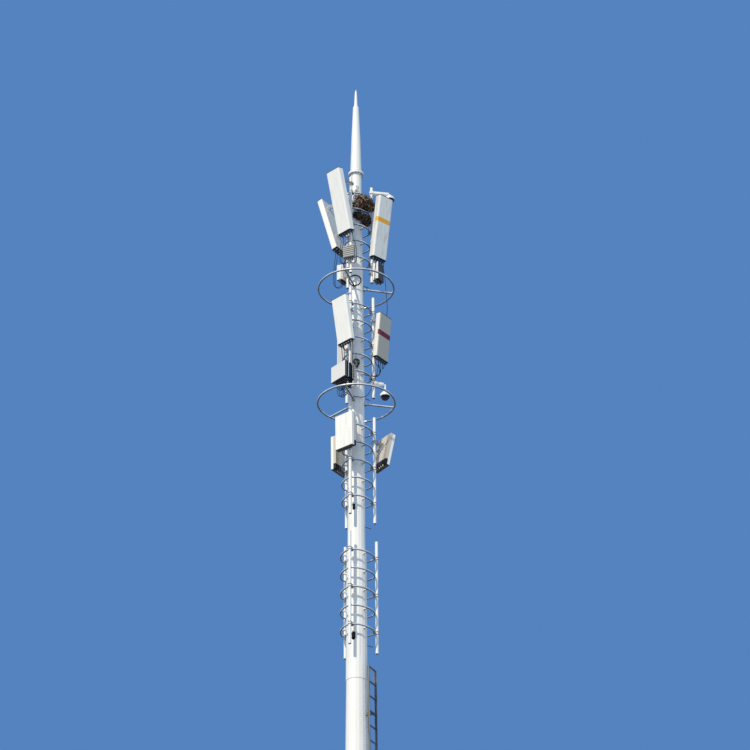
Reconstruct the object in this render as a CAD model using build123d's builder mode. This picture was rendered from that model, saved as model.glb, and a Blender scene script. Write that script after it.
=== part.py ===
"""Monopole cell tower: an eighteen-sided tapered steel shaft on a bolted base plate, four groups of
hoops that carry vertical antenna pipes, eight panel antennas with their radio units, two work rings,
a tapered lightning spire, two dome cameras, a ladder and a bird's nest.

Millimetres, +Z up, origin at the centre of the base plate's underside. An azimuth of 0 looks towards
-Y, the side the photograph was taken from, and grows towards +X.
"""
from build123d import *
import os
from math import sin, cos, tan, radians, sqrt

os.makedirs("parts", exist_ok=True)

# Fits
seat = 0.3  # clearance of a piece from what carries it
running = 6.0  # clearance round the turning camera ball

# Shaft
sides = 18
facet_azimuth = 43.0
wall = 8.0
upper_wall = 6.0
plate_reach = 209.0  # of the base plate past the foot of the shaft
plate_thickness = 45.0
anchor_edge = 80.0  # from the plate's rim to the anchor circle
anchor_hole_diameter = 42.0
gusset_height = 260.0
gusset_thickness = 16.0
gusset_rim_height = 35.0
gusset_edge_margin = 30.0
lower_taper = 19.0  # growth of the width across flats for each metre down
section_1_length = 7155.0  # lengths in view, without what slips into the next section
section_2_length = 7000.0
section_3_length = 6920.0
section_4_length = 2740.0
section_5_length = 3390.0
section_6_length = 5020.0
joint_lap = 600.0
section_4_bottom_width = 412.0
section_4_top_width = 386.0
section_5_step = 40.0  # how much narrower section 5 is than the head of section 4
section_6_bottom_width = 336.0
section_6_top_width = 246.0
collar_depth = 30.0
stub_length = 595.0
head_flange_diameter = 330.0
head_flange_thickness = 22.0

# Spire on the stub's flange
spire_foot_width = 244.0
spire_middle_width = 190.0
spire_head_width = 124.0
spire_lower_length = 935.0
spire_upper_length = 840.0
rod_foot_diameter = 84.0
rod_head_diameter = 44.0
rod_length = 400.0
rod_point_length = 85.0
spire_wall = 6.0

# Cable ports through the shaft
port_azimuth = facet_azimuth - 60.0
lower_port_rise = 870.0  # above the foot of section 4
lower_port_width = 78.0
lower_port_length = 178.0
upper_port_rise = 930.0  # above the foot of section 5
upper_port_width = 60.0
upper_port_length = 146.0

# Hand hole near the ground
hand_hole_azimuth = facet_azimuth + 120.0
hand_hole_height = 1100.0
hand_hole_width = 220.0
hand_hole_length = 480.0
hand_hole_frame = 20.0
hand_hole_reach = 70.0
hand_hole_cover = 8.0

# Hoops and antenna pipes, one group for each array
hoop_pitch = 400.0
hoops_in_group = 5
hoop_tube = 35.0
hoop_corner_radius = 155.0
hoop_standoff = 163.0
strut_size = 24.0
group_1_drop = 65.0  # from the head of section 6 to the first hoop
group_2_drop = 2775.0  # from the first hoop of one group to that of the next
group_3_drop = 2860.0
group_4_drop = 2805.0
pipe_diameter = 60.0
pipe_overhang = 370.0
pipe_tail = 430.0
corner_azimuths = (port_azimuth, port_azimuth + 120.0, port_azimuth + 240.0)
front_pipe_turn = -3.4
right_pipe_turn = 3.0
left_pipe_turn = -19.5

# Work rings
upper_ring_rise = 545.0  # above the first hoop of group 2
lower_ring_rise = 660.0  # above the first hoop of group 3
ring_radius = 785.0
ring_tube = 40.0
spoke_lug_width = 70.0
spoke_lug_length = 50.0
spoke_lug_height = 60.0

# Antennas
top_panel_width = 370.0
top_panel_depth = 140.0
top_panel_length = 1450.0
middle_panel_width = 410.0
middle_panel_depth = 108.0
middle_panel_length = 1020.0
panel_front_radius = 38.0
panel_back_radius = 10.0
end_cap_inset = 6.0
end_cap_recess = 12.0
connector_diameter = 30.0
connector_length = 42.0
active_width = 440.0
active_length = 750.0
active_radome_depth = 70.0
active_fin_depth = 60.0
active_fins = 14
fin_thickness = 5.0
fin_margin = 12.0

# Cables
jumper_diameter = 13.5
cable_lead = 64.0
thin_cable_diameter = 13.0

# Radio units
middle_radio_width = 430.0
middle_radio_depth = 210.0
middle_radio_height = 355.0
left_radio_width = 250.0
left_radio_depth = 130.0
left_radio_height = 365.0
right_radio_width = 240.0
right_radio_depth = 142.0
right_radio_height = 415.0
front_radio_width = 240.0
front_radio_depth = 110.0
front_radio_height = 290.0

# Brackets
clamp_width = 96.0
clamp_depth = 90.0
clamp_height = 56.0
cheek_thickness = 8.0
cheek_gap = 52.0

# Cameras
camera_azimuth = 110.0
camera_reach = 252.0
camera_arm_drop = 75.0  # below the last hoop of group 2
camera_neck = 128.0
arm_diameter = 38.0
hood_gap = 15.0
hood_top_radius = 42.0
hood_headroom = 36.0
hood_wall = 6.0
ball_radius = 84.0
shaft_radius = 8.0
collar_radius = 14.0
collar_recess = 7.0
lens_recess_diameter = 66.0
lens_recess_depth = 8.0
upper_dome_azimuth = 100.0
upper_dome_reach = 392.0
upper_dome_rise = 240.0  # above the first hoop of group 1

# Ladder and steps
ladder_azimuth = facet_azimuth + 20.0
ladder_foot = 3000.0
ladder_rise = 210.0  # above the foot of section 4
ladder_width = 300.0
ladder_gap = 120.0
rail_depth = 50.0
rail_thickness = 10.0
rung_pitch = 300.0
rung_diameter = 24.0
standoff_pitch = 2400.0
standoff_height = 50.0
standoff_width = 60.0
step_azimuth = facet_azimuth + 80.0
step_length = 150.0
step_diameter = 18.0
step_rises = (800.0, 610.0, 150.0, 2850.0)  # above the foot of the section that carries each

# Nest
nest_azimuth = 45.0
nest_reach = 285.0
nest_turn = 37.0
nest_length = 470.0
nest_width = 240.0
nest_headroom = 20.0
clump_azimuth = 67.0
clump_reach = 262.0
clump_length = 190.0
clump_width = 150.0
clump_headroom = 35.0

# Coil of spare cable
coil_azimuth = -7.0
coil_reach = 205.0
coil_rise = 81.0  # above the upper work ring
coil_radius = 125.0
coil_tube = 30.0
strap_width = 18.0


# Heights that follow from the lengths
joint_1_height = plate_thickness + section_1_length
joint_2_height = joint_1_height + section_2_length
joint_3_height = joint_2_height + section_3_length
joint_4_height = joint_3_height + section_4_length
joint_5_height = joint_4_height + section_5_length
head_height = joint_5_height + section_6_length
stub_top_height = head_height + stub_length
spire_middle_height = stub_top_height + spire_lower_length
spire_head_height = spire_middle_height + spire_upper_length
rod_taper_height = spire_head_height + rod_length
rod_tip_height = rod_taper_height + rod_point_length
group_run = hoop_pitch * (hoops_in_group - 1)
group_1_top = head_height - group_1_drop
group_2_top = group_1_top - group_2_drop
group_3_top = group_2_top - group_3_drop
group_4_top = group_3_top - group_4_drop
pipe_length = pipe_overhang + group_run + pipe_tail
upper_ring_height = group_2_top + upper_ring_rise
lower_ring_height = group_3_top + lower_ring_rise
lower_port_height = joint_3_height + lower_port_rise
upper_port_height = joint_4_height + upper_port_rise
section_5_bottom_width = section_4_top_width - section_5_step
stub_width = section_6_top_width - 2 * upper_wall - 2 * seat


def outward(azimuth):
    """Unit vector that points away from the mast at an azimuth."""
    return Vector(sin(radians(azimuth)), -cos(radians(azimuth)), 0)


def sideways(azimuth):
    """Unit vector along a face that looks out at an azimuth."""
    return Vector(cos(radians(azimuth)), sin(radians(azimuth)), 0)


def facing(centre, azimuth, height):
    """Level plane whose -Y looks out at the azimuth."""
    return Plane(origin=(centre.X, centre.Y, height), x_dir=sideways(azimuth), z_dir=(0, 0, 1))


def between(z, low, high):
    """Width at height z on the straight taper between two (height, width) stations."""
    return low[1] + (high[1] - low[1]) * (z - low[0]) / (high[0] - low[0])


# Visible stations of each shaft section, from the top section down
section_6 = ((joint_5_height, section_6_bottom_width), (head_height, section_6_top_width))
section_5 = (
    (joint_4_height, section_5_bottom_width),
    (joint_5_height, section_6_bottom_width - 2 * upper_wall - 2 * seat),
)
section_4 = ((joint_3_height, section_4_bottom_width), (joint_4_height, section_4_top_width))


def section_below(upper, bottom_height):
    """Stations of a section that slips into the foot of the one above it."""
    top_height, upper_width = upper[0]
    top_width = upper_width - 2 * wall - 2 * seat
    grown = lower_taper * (top_height - bottom_height) / 1000
    return ((bottom_height, top_width + grown), (top_height, top_width))


section_3 = section_below(section_4, joint_2_height)
section_2 = section_below(section_3, joint_1_height)
section_1 = section_below(section_2, plate_thickness)
shaft_sections = (section_1, section_2, section_3, section_4, section_5, section_6)
plate_diameter = section_1[0][1] + 2 * plate_reach
anchor_circle = plate_diameter - 2 * anchor_edge


def shaft_radius_at(z):
    """Distance from the axis to a flat of the shaft at height z."""
    for low, high in shaft_sections:
        if z <= high[0]:
            return between(z, low, high) / 2
    return stub_width / 2


def clear_of_shaft(low, high):
    """Distance from the axis at which a piece between two heights just clears the shaft."""
    return max(shaft_radius_at(low), shaft_radius_at(high)) + seat


def shaft_sketch(width, mode=Mode.ADD):
    """Many-sided outline with one flat towards the facet azimuth."""
    turn = facet_azimuth - 90 - 180 / sides
    RegularPolygon(width / 2, sides, major_radius=False, rotation=turn, mode=mode)


def shaft_solid(stations):
    """Ruled solid through (height, width across flats) stations."""
    with BuildPart() as solid:
        for height, width in stations:
            with BuildSketch(Plane.XY.offset(height)):
                shaft_sketch(width)
        loft(ruled=True)
    return solid.part


def shaft_tube(stations, thickness):
    """Hollow shaft section through (height, width across flats) stations."""
    with BuildPart() as tube:
        add(shaft_solid(stations))
        add(shaft_solid([(z, w - 2 * thickness) for z, w in stations]), mode=Mode.SUBTRACT)
    return tube.part


def slip_stations(section, upper, upper_thickness):
    """Stations of a section with its head inside the foot of the section above."""
    lap_top = section[1][0] + joint_lap
    lap_width = between(lap_top, upper[0], upper[1]) - 2 * upper_thickness - 2 * seat
    return [section[0], section[1], (lap_top, lap_width)]


def face_plane(azimuth, reach, height):
    """Upright plane across an azimuth: X sideways, Y up, normal away from the mast."""
    origin = outward(azimuth) * reach + Vector(0, 0, height)
    return Plane(origin=origin, x_dir=sideways(azimuth), z_dir=outward(azimuth))


def port_cutter(azimuth, height, width, length):
    """Upright rounded slot that reaches out from the axis through one flat of the shaft."""
    with BuildPart() as cutter:
        with BuildSketch(face_plane(azimuth, 0, height)):
            SlotOverall(length, width, rotation=90)
        extrude(amount=shaft_radius_at(height) * 2)
    return cutter.part


# Base plate with a gusset on every flat of the shaft
with BuildPart() as base_plate:
    with BuildSketch():
        Circle(plate_diameter / 2)
        with PolarLocations(anchor_circle / 2, sides, start_angle=facet_azimuth - 90 + 180 / sides):
            Circle(anchor_hole_diameter / 2, mode=Mode.SUBTRACT)
    extrude(amount=plate_thickness)
    gusset_head = plate_thickness + gusset_height
    for turn in range(sides):
        gusset_azimuth = facet_azimuth + turn * 360 / sides
        gusset_normal = sideways(gusset_azimuth + 180)
        gusset_plane = Plane(origin=(0, 0, 0), x_dir=outward(gusset_azimuth), z_dir=gusset_normal)
        with BuildSketch(gusset_plane):
            with BuildLine():
                Polyline(
                    (shaft_radius_at(plate_thickness) + seat, plate_thickness),
                    (plate_diameter / 2 - gusset_edge_margin, plate_thickness),
                    (plate_diameter / 2 - gusset_edge_margin, plate_thickness + gusset_rim_height),
                    (shaft_radius_at(gusset_head) + gusset_rim_height, gusset_head),
                    (shaft_radius_at(gusset_head) + seat, gusset_head),
                    close=True,
                )
            make_face()
        extrude(amount=gusset_thickness / 2, both=True)
base_plate.part.label = "base_plate"
export_step(base_plate.part, "parts/base_plate.step")

# Shaft sections, each slipped into the foot of the next
with BuildPart() as pole_section_1:
    add(shaft_tube(slip_stations(section_1, section_2, wall), wall))
pole_section_1.part.label = "pole_section_1"
export_step(pole_section_1.part, "parts/pole_section_1.step")

with BuildPart() as pole_section_2:
    add(shaft_tube(slip_stations(section_2, section_3, wall), wall))
pole_section_2.part.label = "pole_section_2"
export_step(pole_section_2.part, "parts/pole_section_2.step")

with BuildPart() as pole_section_3:
    add(shaft_tube(slip_stations(section_3, section_4, wall), wall))
pole_section_3.part.label = "pole_section_3"
export_step(pole_section_3.part, "parts/pole_section_3.step")

# Section 4 has an inward collar at its head that holds the narrower section 5
with BuildPart() as pole_section_4:
    add(shaft_tube(list(section_4), wall))
    with BuildSketch(Plane.XY.offset(joint_4_height - collar_depth)):
        shaft_sketch(section_4_top_width - wall)
        shaft_sketch(section_5_bottom_width + 2 * seat, Mode.SUBTRACT)
    extrude(amount=collar_depth)
    add(port_cutter(port_azimuth, lower_port_height, lower_port_width, lower_port_length), mode=Mode.SUBTRACT)
pole_section_4.part.label = "pole_section_4"
export_step(pole_section_4.part, "parts/pole_section_4.step")

with BuildPart() as pole_section_5:
    socket = (joint_4_height - joint_lap, section_5_bottom_width)
    add(shaft_tube([socket] + slip_stations(section_5, section_6, upper_wall), wall))
    add(port_cutter(port_azimuth, upper_port_height, upper_port_width, upper_port_length), mode=Mode.SUBTRACT)
pole_section_5.part.label = "pole_section_5"
export_step(pole_section_5.part, "parts/pole_section_5.step")

with BuildPart() as pole_section_6:
    add(shaft_tube(list(section_6), upper_wall))
    with BuildSketch(Plane.XY.offset(head_height - collar_depth)):
        shaft_sketch(section_6_top_width - upper_wall)
        shaft_sketch(stub_width + 2 * seat, Mode.SUBTRACT)
    extrude(amount=collar_depth)
pole_section_6.part.label = "pole_section_6"
export_step(pole_section_6.part, "parts/pole_section_6.step")

# Stub with the flange that carries the spire
with BuildPart() as top_stub:
    add(shaft_tube([(head_height - collar_depth, stub_width), (stub_top_height, stub_width)], wall))
    with BuildSketch(Plane.XY.offset(stub_top_height - head_flange_thickness)):
        Circle(head_flange_diameter / 2)
        Circle(stub_width / 2 - wall, mode=Mode.SUBTRACT)
    extrude(amount=head_flange_thickness)
top_stub.part.label = "top_stub"
export_step(top_stub.part, "parts/top_stub.step")

# Lightning spire: flange, tapered many-sided tube and round rod
with BuildPart() as lightning_spire:
    add(
        shaft_tube(
            [
                (stub_top_height + seat, spire_foot_width),
                (spire_middle_height, spire_middle_width),
                (spire_head_height, spire_head_width),
            ],
            spire_wall,
        )
    )
    with BuildSketch(Plane.XY.offset(stub_top_height + seat)):
        Circle(head_flange_diameter / 2)
        Circle(spire_foot_width / 2 - 2 * spire_wall, mode=Mode.SUBTRACT)
    extrude(amount=head_flange_thickness)
    with BuildSketch(Plane.XZ):
        with BuildLine():
            Polyline(
                (0, spire_head_height - spire_wall),
                (spire_head_width / 2 - spire_wall, spire_head_height - spire_wall),
                (spire_head_width / 2, spire_head_height),
                (rod_foot_diameter / 2, spire_head_height + spire_wall),
                (rod_head_diameter / 2, rod_taper_height),
                (0, rod_tip_height),
                close=True,
            )
        make_face()
    revolve(axis=Axis.Z)
lightning_spire.part.label = "lightning_spire"
export_step(lightning_spire.part, "parts/lightning_spire.step")

# Cover of the hand hole, on an oval frame that meets the flats of the shaft
with BuildPart() as hand_hole:
    inner_length = hand_hole_length - 2 * hand_hole_frame
    inner_width = hand_hole_width - 2 * hand_hole_frame
    frame_reach = shaft_radius_at(hand_hole_height) + hand_hole_reach
    with BuildSketch(face_plane(hand_hole_azimuth, 0, hand_hole_height)):
        SlotOverall(hand_hole_length, hand_hole_width, rotation=90)
        SlotOverall(inner_length, inner_width, rotation=90, mode=Mode.SUBTRACT)
    extrude(amount=frame_reach)
    with BuildSketch(face_plane(hand_hole_azimuth, frame_reach, hand_hole_height)):
        SlotOverall(hand_hole_length + hand_hole_frame, hand_hole_width + hand_hole_frame, rotation=90)
    extrude(amount=hand_hole_cover)
    grown_stations = [(z, w + 2 * seat) for z, w in section_1]
    add(shaft_solid(grown_stations), mode=Mode.SUBTRACT)
hand_hole.part.label = "hand_hole_cover"
export_step(hand_hole.part, "parts/hand_hole_cover.step")


def corner_reach(top):
    """Distance from the axis to the centres of a group's corner arcs."""
    return shaft_radius_at(top - group_run / 2) + hoop_standoff - hoop_corner_radius


def hoop(top, height):
    """Rounded triangle of round tube with three struts that reach the shaft."""
    reach = corner_reach(top)
    corners = [outward(a) * reach for a in corner_azimuths]
    side_radius = sqrt(3) * reach + hoop_corner_radius
    with BuildPart() as ring:
        with BuildLine() as path:
            for k in range(3):
                here, ahead, behind = corners[k], corners[(k + 1) % 3], corners[(k + 2) % 3]
                level = Vector(0, 0, height)
                start = here + (here - ahead).normalized() * hoop_corner_radius
                crown = here + here.normalized() * hoop_corner_radius
                finish = here + (here - behind).normalized() * hoop_corner_radius
                side = behind - behind.normalized() * side_radius
                side_finish = ahead + (ahead - behind).normalized() * hoop_corner_radius
                ThreePointArc(start + level, crown + level, finish + level)
                ThreePointArc(finish + level, side + level, side_finish + level)
        first = path.wires()[0]
        with BuildSketch(Plane(origin=first @ 0, z_dir=first % 0)):
            Circle(hoop_tube / 2)
        sweep(path=first)
        for azimuth in corner_azimuths:
            strut_azimuth = azimuth + 180
            foot = clear_of_shaft(height - strut_size / 2, height + strut_size / 2)
            run = side_radius - reach - foot
            with BuildSketch(face_plane(strut_azimuth, foot, height)):
                Rectangle(strut_size, strut_size)
            extrude(amount=run)
    return ring.part


group_tops = {"1": group_1_top, "2": group_2_top, "3": group_3_top, "4": group_4_top}
for number, top in group_tops.items():
    with BuildPart() as hoop_group:
        for count in range(hoops_in_group):
            add(hoop(top, top - count * hoop_pitch))
    hoop_group.part.label = "hoops_" + number
    export_step(hoop_group.part, "parts/hoops_" + number + ".step")


def pipe_centre(top, corner, turn):
    """Axis of an antenna pipe that lies against the outside of a group's corner arcs."""
    middle = outward(corner_azimuths[corner]) * corner_reach(top)
    gap = hoop_corner_radius + hoop_tube / 2 + seat + pipe_diameter / 2
    return middle + outward(corner_azimuths[corner] + turn) * gap


def front_pipe(top):
    return pipe_centre(top, 0, front_pipe_turn)


def right_pipe(top):
    return pipe_centre(top, 1, right_pipe_turn)


def left_pipe(top):
    return pipe_centre(top, 2, left_pipe_turn)


for number, top in group_tops.items():
    with BuildPart() as pipe_group:
        for centre in (front_pipe(top), right_pipe(top), left_pipe(top)):
            with BuildSketch(Plane.XY.offset(top + pipe_overhang - pipe_length)):
                with Locations((centre.X, centre.Y)):
                    Circle(pipe_diameter / 2)
            extrude(amount=pipe_length)
    pipe_group.part.label = "antenna_pipes_" + number
    export_step(pipe_group.part, "parts/antenna_pipes_" + number + ".step")


def work_ring(height):
    """Ring of tube on three spokes with a lug at the shaft."""
    with BuildPart() as ring:
        with BuildSketch(Plane.XZ) as section:
            with Locations((ring_radius, height)):
                Circle(ring_tube / 2)
        revolve(axis=Axis.Z)
        for azimuth in corner_azimuths:
            foot = clear_of_shaft(height - spoke_lug_height / 2, height + spoke_lug_height / 2)
            with BuildSketch(face_plane(azimuth, foot, height)):
                Rectangle(spoke_lug_width, spoke_lug_height)
            extrude(amount=spoke_lug_length)
            with BuildSketch(face_plane(azimuth, foot + spoke_lug_length, height)):
                Circle(ring_tube / 2)
            extrude(amount=ring_radius - foot - spoke_lug_length)
    return ring.part


with BuildPart() as work_ring_upper:
    add(work_ring(upper_ring_height))
work_ring_upper.part.label = "work_ring_upper"
export_step(work_ring_upper.part, "parts/work_ring_upper.step")

with BuildPart() as work_ring_lower:
    add(work_ring(lower_ring_height))
work_ring_lower.part.label = "work_ring_lower"
export_step(work_ring_lower.part, "parts/work_ring_lower.step")


def leaning_plane(pipe, azimuth, reach, height, lean):
    """Plane across the foot of an antenna: X along its face, Y towards the mast, Z up its length."""
    out = outward(azimuth)
    up = out * sin(radians(lean)) + Vector(0, 0, 1) * cos(radians(lean))
    origin = pipe + out * reach + Vector(0, 0, height)
    return Plane(origin=origin, x_dir=sideways(azimuth), z_dir=up)


def panel(foot, width, depth, length, columns):
    """Radome with a rounded front, recessed ends and two rows of connectors under it."""
    with BuildPart() as body:
        with BuildSketch(foot) as outline:
            with Locations((0, depth / 2)):
                Rectangle(width, depth)
            fillet(outline.vertices().group_by(Axis.Y)[0], panel_front_radius)
            fillet(outline.vertices().group_by(Axis.Y)[-1], panel_back_radius)
        extrude(amount=length)
        with BuildSketch(foot):
            with Locations((0, depth / 2)):
                RectangleRounded(width - 4 * end_cap_inset, depth - 4 * end_cap_inset, panel_back_radius)
        extrude(amount=end_cap_recess, mode=Mode.SUBTRACT)
        with BuildSketch(foot.offset(end_cap_recess)):
            with Locations((0, depth / 2)):
                with GridLocations((width - 3 * connector_diameter) / (columns - 1), depth / 2.4, columns, 2):
                    Circle(connector_diameter / 2)
        extrude(amount=-(connector_length + end_cap_recess))
    return body.part


def active_antenna(foot):
    """Flat radome in front of a heat sink with upright fins and a dark connector tray below."""
    pitch = (active_width - fin_thickness) / (active_fins - 1)
    with BuildPart() as body:
        with BuildSketch(foot) as outline:
            with Locations((0, active_radome_depth / 2)):
                Rectangle(active_width, active_radome_depth)
            fillet(outline.vertices().group_by(Axis.Y)[0], panel_front_radius / 2)
        extrude(amount=active_length)
        with BuildSketch(foot):
            with Locations((0, active_radome_depth + active_fin_depth / 2)):
                with GridLocations(pitch, 1, active_fins, 1):
                    Rectangle(fin_thickness, active_fin_depth)
        extrude(amount=active_length)
        with BuildSketch(foot):
            with Locations((0, active_radome_depth + active_fin_depth / 2)):
                Rectangle(active_width / 2, active_fin_depth)
        extrude(amount=active_length)
    return body.part


def bracket(pipe, azimuth, height, back):
    """Clamp block round a pipe with two cheeks that end at the back of what it carries."""
    with BuildPart() as arm:
        with BuildSketch(facing(pipe, azimuth, height - clamp_height / 2)):
            RectangleRounded(clamp_width, clamp_depth, cheek_thickness)
            Circle(pipe_diameter / 2 + seat, mode=Mode.SUBTRACT)
            with Locations((0, -clamp_depth * 4)):
                with GridLocations(cheek_gap + cheek_thickness, 0, 2, 1):
                    Rectangle(cheek_thickness, clamp_depth * 7)
        extrude(amount=clamp_height)
        split(bisect_by=back, keep=Keep.TOP)
    return arm.part


def back_plane(foot, depth):
    """Plane just behind an antenna, whose normal points towards the mast."""
    origin = foot.from_local_coords(Vector(0, depth + seat, 0))
    return Plane(origin=origin, x_dir=foot.x_dir, z_dir=foot.y_dir)


# Antenna places: azimuth, reach from the pipe, drop of the foot below the first hoop, lean outwards
top_front_place = (-45.0, 209.0, 1125.0, 13.9)
top_left_place = (-125.0, 288.0, 1067.0, 16.1)
top_right_place = (41.0, 261.0, 1545.0, 9.3)
middle_front_place = (-45.5, 180.0, 1030.0, 10.2)
middle_right_place = (53.0, 235.0, 1193.0, 5.8)
middle_back_place = (180.0, 190.0, 1130.0, 6.0)
active_front_place = (-40.5, 205.0, 630.0, 1.0)
active_left_place = (-125.0, 235.0, 725.0, 0.5)
active_right_place = (124.0, 219.0, 750.0, 12.3)

# Radio unit places: azimuth, reach from the pipe, drop of the foot below the last hoop
radio_middle_place = (-50.0, 332.0, 356.0)
radio_left_place = (-125.0, 196.0, 225.0)
radio_right_place = (60.0, 222.0, 435.0)
radio_front_place = (-20.0, 160.0, 130.0)

# Heights of the radio units' brackets above their feet
radio_middle_rise = 176.0
radio_left_rise = 70.0
radio_right_rise = 210.0
radio_front_rise = 45.0


def antenna_plane(pipe, top, place):
    """Plane across the foot of an antenna that leans out from its pipe."""
    azimuth, reach, drop, lean = place
    return leaning_plane(pipe, azimuth, reach, top - drop, lean)


def radio_plane(pipe, top, place):
    """Plane across the foot of an upright radio unit."""
    azimuth, reach, drop = place
    return leaning_plane(pipe, azimuth, reach, top - group_run - drop, 0)


# Top array
panel_top_front_plane = antenna_plane(front_pipe(group_1_top), group_1_top, top_front_place)
panel_top_left_plane = antenna_plane(left_pipe(group_1_top), group_1_top, top_left_place)
panel_top_right_plane = antenna_plane(right_pipe(group_1_top), group_1_top, top_right_place)
top_planes = {
    "panel_top_front": panel_top_front_plane,
    "panel_top_left": panel_top_left_plane,
    "panel_top_right": panel_top_right_plane,
}
for name, plane in top_planes.items():
    with BuildPart() as top_panel:
        add(panel(plane, top_panel_width, top_panel_depth, top_panel_length, 5))
    top_panel.part.label = name
    export_step(top_panel.part, "parts/" + name + ".step")

# Middle array
panel_middle_front_plane = antenna_plane(front_pipe(group_2_top), group_2_top, middle_front_place)
panel_middle_right_plane = antenna_plane(right_pipe(group_2_top), group_2_top, middle_right_place)
panel_middle_back_plane = antenna_plane(left_pipe(group_2_top), group_2_top, middle_back_place)
middle_planes = {
    "panel_middle_front": panel_middle_front_plane,
    "panel_middle_right": panel_middle_right_plane,
    "panel_middle_back": panel_middle_back_plane,
}
for name, plane in middle_planes.items():
    with BuildPart() as middle_panel:
        add(panel(plane, middle_panel_width, middle_panel_depth, middle_panel_length, 6))
    middle_panel.part.label = name
    export_step(middle_panel.part, "parts/" + name + ".step")

# Lower array
active_front_plane = antenna_plane(front_pipe(group_3_top), group_3_top, active_front_place)
active_left_plane = antenna_plane(left_pipe(group_3_top), group_3_top, active_left_place)
active_right_plane = antenna_plane(right_pipe(group_3_top), group_3_top, active_right_place)
active_planes = {
    "active_antenna_front": active_front_plane,
    "active_antenna_left": active_left_plane,
    "active_antenna_right": active_right_plane,
}
for name, plane in active_planes.items():
    with BuildPart() as active:
        add(active_antenna(plane))
    active.part.label = name
    export_step(active.part, "parts/" + name + ".step")

# Places of the radio units
radio_middle_plane = radio_plane(front_pipe(group_2_top), group_2_top, radio_middle_place)
radio_left_plane = radio_plane(left_pipe(group_1_top), group_1_top, radio_left_place)
radio_right_plane = radio_plane(right_pipe(group_1_top), group_1_top, radio_right_place)
radio_front_plane = radio_plane(front_pipe(group_1_top), group_1_top, radio_front_place)


def bracket_at(pipe, top, foot, depth, place, count):
    """Bracket halfway below one hoop of a group, counted from the top one down."""
    return bracket(pipe, place[0], top - hoop_pitch * (count - 0.5), back_plane(foot, depth))


def radio_bracket(pipe, foot, depth, place, rise):
    """Bracket at a height above the foot of a radio unit."""
    return bracket(pipe, place[0], foot.origin.Z + rise, back_plane(foot, depth))


# Brackets: one low and one high on each antenna, one on each radio unit
with BuildPart() as brackets_top:
    pipe = front_pipe(group_1_top)
    for count in (0, 3):
        add(bracket_at(pipe, group_1_top, panel_top_front_plane, top_panel_depth, top_front_place, count))
    add(radio_bracket(pipe, radio_front_plane, front_radio_depth, radio_front_place, radio_front_rise))
    pipe = left_pipe(group_1_top)
    for count in (0, 2):
        add(bracket_at(pipe, group_1_top, panel_top_left_plane, top_panel_depth, top_left_place, count))
    add(radio_bracket(pipe, radio_left_plane, left_radio_depth, radio_left_place, radio_left_rise))
    pipe = right_pipe(group_1_top)
    for count in (1, 4):
        add(bracket_at(pipe, group_1_top, panel_top_right_plane, top_panel_depth, top_right_place, count))
    add(radio_bracket(pipe, radio_right_plane, right_radio_depth, radio_right_place, radio_right_rise))
brackets_top.part.label = "brackets_top"
export_step(brackets_top.part, "parts/brackets_top.step")

with BuildPart() as brackets_middle:
    pipe = front_pipe(group_2_top)
    foot = panel_middle_front_plane
    for count in (1, 2):
        add(bracket_at(pipe, group_2_top, foot, middle_panel_depth, middle_front_place, count))
    add(radio_bracket(pipe, radio_middle_plane, middle_radio_depth, radio_middle_place, radio_middle_rise))
    pipe = right_pipe(group_2_top)
    foot = panel_middle_right_plane
    for count in (1, 3):
        add(bracket_at(pipe, group_2_top, foot, middle_panel_depth, middle_right_place, count))
    pipe = left_pipe(group_2_top)
    foot = panel_middle_back_plane
    for count in (1, 3):
        add(bracket_at(pipe, group_2_top, foot, middle_panel_depth, middle_back_place, count))
brackets_middle.part.label = "brackets_middle"
export_step(brackets_middle.part, "parts/brackets_middle.step")

active_depth = active_radome_depth + active_fin_depth
with BuildPart() as brackets_lower:
    pipe = front_pipe(group_3_top)
    add(bracket_at(pipe, group_3_top, active_front_plane, active_depth, active_front_place, 1))
    pipe = left_pipe(group_3_top)
    add(bracket_at(pipe, group_3_top, active_left_plane, active_depth, active_left_place, 1))
    pipe = right_pipe(group_3_top)
    add(bracket_at(pipe, group_3_top, active_right_plane, active_depth, active_right_place, 1))
brackets_lower.part.label = "brackets_lower"
export_step(brackets_lower.part, "parts/brackets_lower.step")


def radio_unit(foot, width, depth, height):
    """Radio unit with a smooth cover in front, upright fins behind and connectors under it."""
    cover = depth * 0.45
    fin_run = depth * 0.4
    count = int((width - fin_thickness) / (3.4 * fin_thickness)) + 1
    pitch = (width - fin_thickness) / (count - 1)
    with BuildPart() as body:
        with BuildSketch(foot):
            with Locations((0, cover / 2)):
                RectangleRounded(width, cover, panel_back_radius)
            with Locations((0, (cover + depth) / 2)):
                Rectangle(width * 0.8, depth - cover)
        extrude(amount=height)
        with BuildSketch(foot.offset(fin_margin)):
            with Locations((0, cover + (fin_run - panel_back_radius) / 2)):
                with GridLocations(pitch, 1, count, 1):
                    Rectangle(fin_thickness, fin_run + panel_back_radius)
        extrude(amount=height - 2 * fin_margin)
        with BuildSketch(foot):
            with Locations((0, depth * 0.45)):
                with GridLocations(width / 6, 1, 5, 1):
                    Circle(connector_diameter / 2)
        extrude(amount=-connector_length)
    return body.part


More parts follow.
